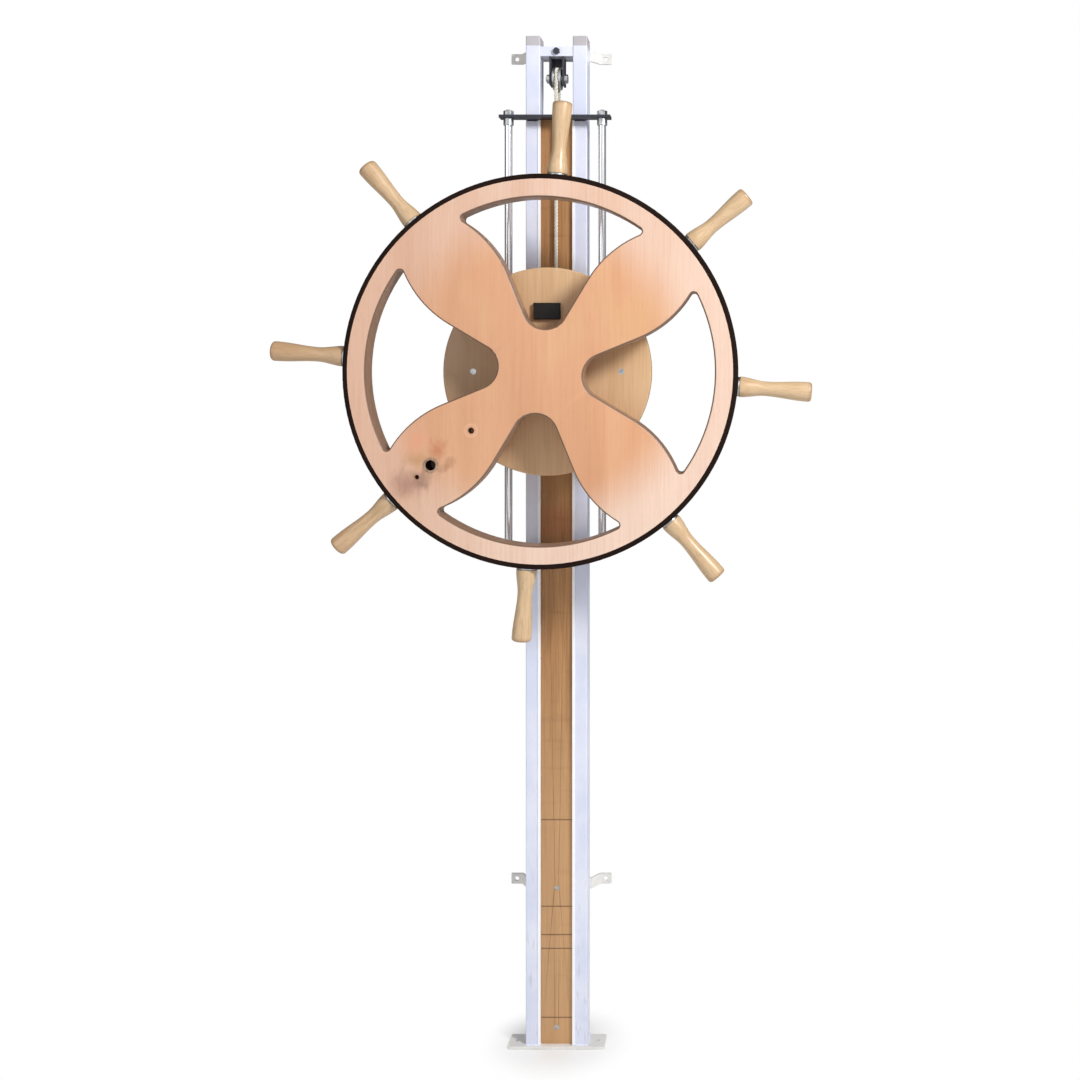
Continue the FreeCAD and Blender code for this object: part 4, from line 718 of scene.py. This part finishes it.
def make_cord():
    front_low, front_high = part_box("cord_front")
    rear_low, rear_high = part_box("cord_rear")
    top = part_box("cord_over_pulley")[0].z
    front = Vector((0.0, (front_low.y + front_high.y) / 2, top))
    rear = Vector((0.0, (rear_low.y + rear_high.y) / 2, top))

    shape = bmesh.new()
    twist_strands(shape, front, top - front_low.z, False, 0.0)
    run = finished("lifting_cord_front", shape, None, "cord_fibre", ["cord_front"])
    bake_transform(run)

    shape = bmesh.new()
    twist_strands(shape, rear, top - rear_low.z, False, 0.0)
    run = finished("lifting_cord_rear", shape, None, "cord_fibre", ["cord_rear"])
    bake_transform(run)

    # The stretch on the pulley is wound straight and then bent round the groove
    shape = bmesh.new()
    twist_strands(shape, front, math.pi * CORD_TURN_RADIUS, True, 0.0)
    middle = (front.y + rear.y) / 2
    for vert in shape.verts:
        turn = (vert.co.z - top) / CORD_TURN_RADIUS
        reach = middle - vert.co.y
        vert.co = Vector((vert.co.x, middle - reach * math.cos(turn), top + reach * math.sin(turn)))
    bmesh.ops.recalc_face_normals(shape, faces=shape.faces)
    finished("lifting_cord_on_pulley", shape, "frame", "cord_fibre", ["cord_over_pulley"])


# Weld beads where the steel pieces meet

BEAD_RADIUS = 0.0024
BEAD_SPACING = 0.0026
BEAD_SWELL = 0.14
BEAD_SWELL_STEP = 2.3
BEAD_SIDES = 8
BEAD_RINGS = 5


def lay_bead(shape, start, end):
    length = (end - start).length
    count = max(2, round(length / BEAD_SPACING))
    for index in range(count + 1):
        centre = start.lerp(end, index / count)
        swell = 1.0 + BEAD_SWELL * math.sin(index * BEAD_SWELL_STEP)
        matrix = Matrix.Translation(centre) @ Matrix.Diagonal((swell, swell, swell, 1.0))
        bmesh.ops.create_uvsphere(shape, u_segments=BEAD_SIDES, v_segments=BEAD_RINGS,
                                  radius=BEAD_RADIUS, matrix=matrix)


def make_foot_welds():
    shape = bmesh.new()
    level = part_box("foot_plate")[1].z
    inset = BEAD_RADIUS
    for rail in ("left_rail", "right_rail"):
        low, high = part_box(rail)
        for x in (low.x, high.x):
            lay_bead(shape, Vector((x, low.y + inset, level)), Vector((x, high.y - inset, level)))
        lay_bead(shape, Vector((low.x + inset, low.y, level)), Vector((high.x - inset, low.y, level)))
    finished("foot_welds", shape, "frame", "rail_paint")


def make_plate_welds():
    shape = bmesh.new()
    for plate in ("upper_rod_plate", "lower_rod_plate"):
        plate_low, plate_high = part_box(plate)
        for rail in ("left_rail", "right_rail"):
            low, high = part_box(rail)
            for level in (plate_low.z, plate_high.z):
                start = Vector((low.x + 2 * BEAD_RADIUS, low.y, level))
                end = Vector((high.x - 2 * BEAD_RADIUS, low.y, level))
                lay_bead(shape, start, end)
    finished("rod_plate_welds", shape, "frame", "dark_steel")


def make_bracket_welds():
    shape = bmesh.new()
    for bracket in ("middle_wall_bracket", "top_wall_bracket"):
        bracket_low, bracket_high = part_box(bracket)
        for rail in ("left_rail", "right_rail"):
            low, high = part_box(rail)
            for level in (bracket_low.z, bracket_high.z):
                start = Vector((low.x + 2 * BEAD_RADIUS, high.y, level))
                end = Vector((high.x - 2 * BEAD_RADIUS, high.y, level))
                lay_bead(shape, start, end)
    finished("bracket_welds", shape, "frame", "bracket_steel")


make_handles()
make_guide_rod("left")
make_guide_rod("right")
make_cord()
make_foot_welds()
make_plate_welds()
make_bracket_welds()


# Floor, light and camera

FLOOR_RADIUS = 7.0
FLOOR_GAP = 0.0005
FOOT_SHADOW_START = 0.04
FOOT_SHADOW_END = 0.17
RAIL_MIDDLE = (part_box("left_rail")[0].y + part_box("left_rail")[1].y) / 2
FLOOR_SIDES = 96
FLOOR_GREY = (0.93, 0.93, 0.93, 1.0)
AMBIENT = 0.46
SIDE_AMBIENT = 0.10


def make_floor():
    shape = bmesh.new()
    bmesh.ops.create_circle(shape, cap_ends=True, segments=FLOOR_SIDES, radius=FLOOR_RADIUS)
    mesh = bpy.data.meshes.new("studio_floor")
    shape.to_mesh(mesh)
    shape.free()
    floor = bpy.data.objects.new("studio_floor", mesh)
    floor.location = (0.0, RAIL_MIDDLE, FLOOR - FLOOR_GAP)
    bpy.context.scene.collection.objects.link(floor)
    material, tree, shader = start_finish("studio_floor", 0.9)
    shader.inputs["Base Color"].default_value = FLOOR_GREY
    shader.inputs["Specular IOR Level"].default_value = 0.0
    # Away from the foot the camera sees the floor as plain white paper
    away = add_node(tree, "ShaderNodeVectorMath", {0: object_place(tree)}, operation="LENGTH")
    seen = tree.nodes.new("ShaderNodeLightPath").outputs["Is Camera Ray"]
    paper = fade(tree, away.outputs["Value"], FOOT_SHADOW_START, FOOT_SHADOW_END)
    share = calculate(tree, "MULTIPLY", paper, seen)
    white = add_node(tree, "ShaderNodeEmission", {"Color": (1.0, 1.0, 1.0, 1.0), "Strength": 1.0})
    both = add_node(tree, "ShaderNodeMixShader", {0: share})
    tree.links.new(shader.outputs[0], both.inputs[1])
    tree.links.new(white.outputs[0], both.inputs[2])
    tree.links.new(both.outputs[0], tree.nodes["Material Output"].inputs["Surface"])
    mesh.materials.append(material)


def make_light(name, place, aim, size, power):
    lamp = bpy.data.lights.new(name, "AREA")
    lamp.shape = "DISK"
    lamp.size = size
    lamp.energy = power
    light = bpy.data.objects.new(name, lamp)
    light.location = place
    light.rotation_euler = (Vector(aim) - Vector(place)).to_track_quat("-Z", "Y").to_euler()
    bpy.context.scene.collection.objects.link(light)


def make_surroundings():
    """White for the camera, even light for matt surfaces, and dark sides mirrored in bright metal."""
    world = bpy.data.worlds.new("studio")
    world.use_nodes = True
    tree = world.node_tree
    white = (1.0, 1.0, 1.0, 1.0)
    even = add_node(tree, "ShaderNodeBackground", {"Color": white, "Strength": AMBIENT})
    seen = add_node(tree, "ShaderNodeBackground", {"Color": white, "Strength": 1.0})
    direction = add_node(tree, "ShaderNodeTexCoord", {}).outputs["Generated"]
    front = fade(tree, axes(tree, direction)[1], -0.75, 0.00, 1.0, SIDE_AMBIENT)
    mirrored = add_node(tree, "ShaderNodeBackground", {"Color": white, "Strength": front})
    path = tree.nodes.new("ShaderNodeLightPath")
    indirect = add_node(tree, "ShaderNodeMixShader", {0: path.outputs["Is Glossy Ray"]})
    tree.links.new(even.outputs[0], indirect.inputs[1])
    tree.links.new(mirrored.outputs[0], indirect.inputs[2])
    both = add_node(tree, "ShaderNodeMixShader", {0: path.outputs["Is Camera Ray"]})
    tree.links.new(indirect.outputs[0], both.inputs[1])
    tree.links.new(seen.outputs[0], both.inputs[2])
    tree.links.new(both.outputs[0], tree.nodes["World Output"].inputs["Surface"])
    bpy.context.scene.world = world


CAMERA_PLACE = Vector((0.389, -2.800, AXLE.z))
CAMERA_LENS = 43.5
SENSOR_WIDTH = 36.0
CAMERA_SHIFT = (-0.188, -0.156)


def make_camera():
    data = bpy.data.cameras.new("studio_camera")
    data.lens = CAMERA_LENS
    data.sensor_width = SENSOR_WIDTH
    data.shift_x, data.shift_y = CAMERA_SHIFT
    camera = bpy.data.objects.new("studio_camera", data)
    camera.location = CAMERA_PLACE
    camera.rotation_euler = (math.pi / 2, 0.0, 0.0)
    bpy.context.scene.collection.objects.link(camera)
    bpy.context.scene.camera = camera


make_floor()
make_surroundings()
make_light("upper_right_light", (2.2, -2.3, 1.0), (0.0, -0.25, AXLE.z), 0.8, 104.0)
make_light("left_fill_light", (-2.2, -2.4, -0.2), (0.0, -0.2, AXLE.z - 0.3), 1.8, 10.0)
make_camera()
bpy.context.scene.view_settings.view_transform = "Standard"
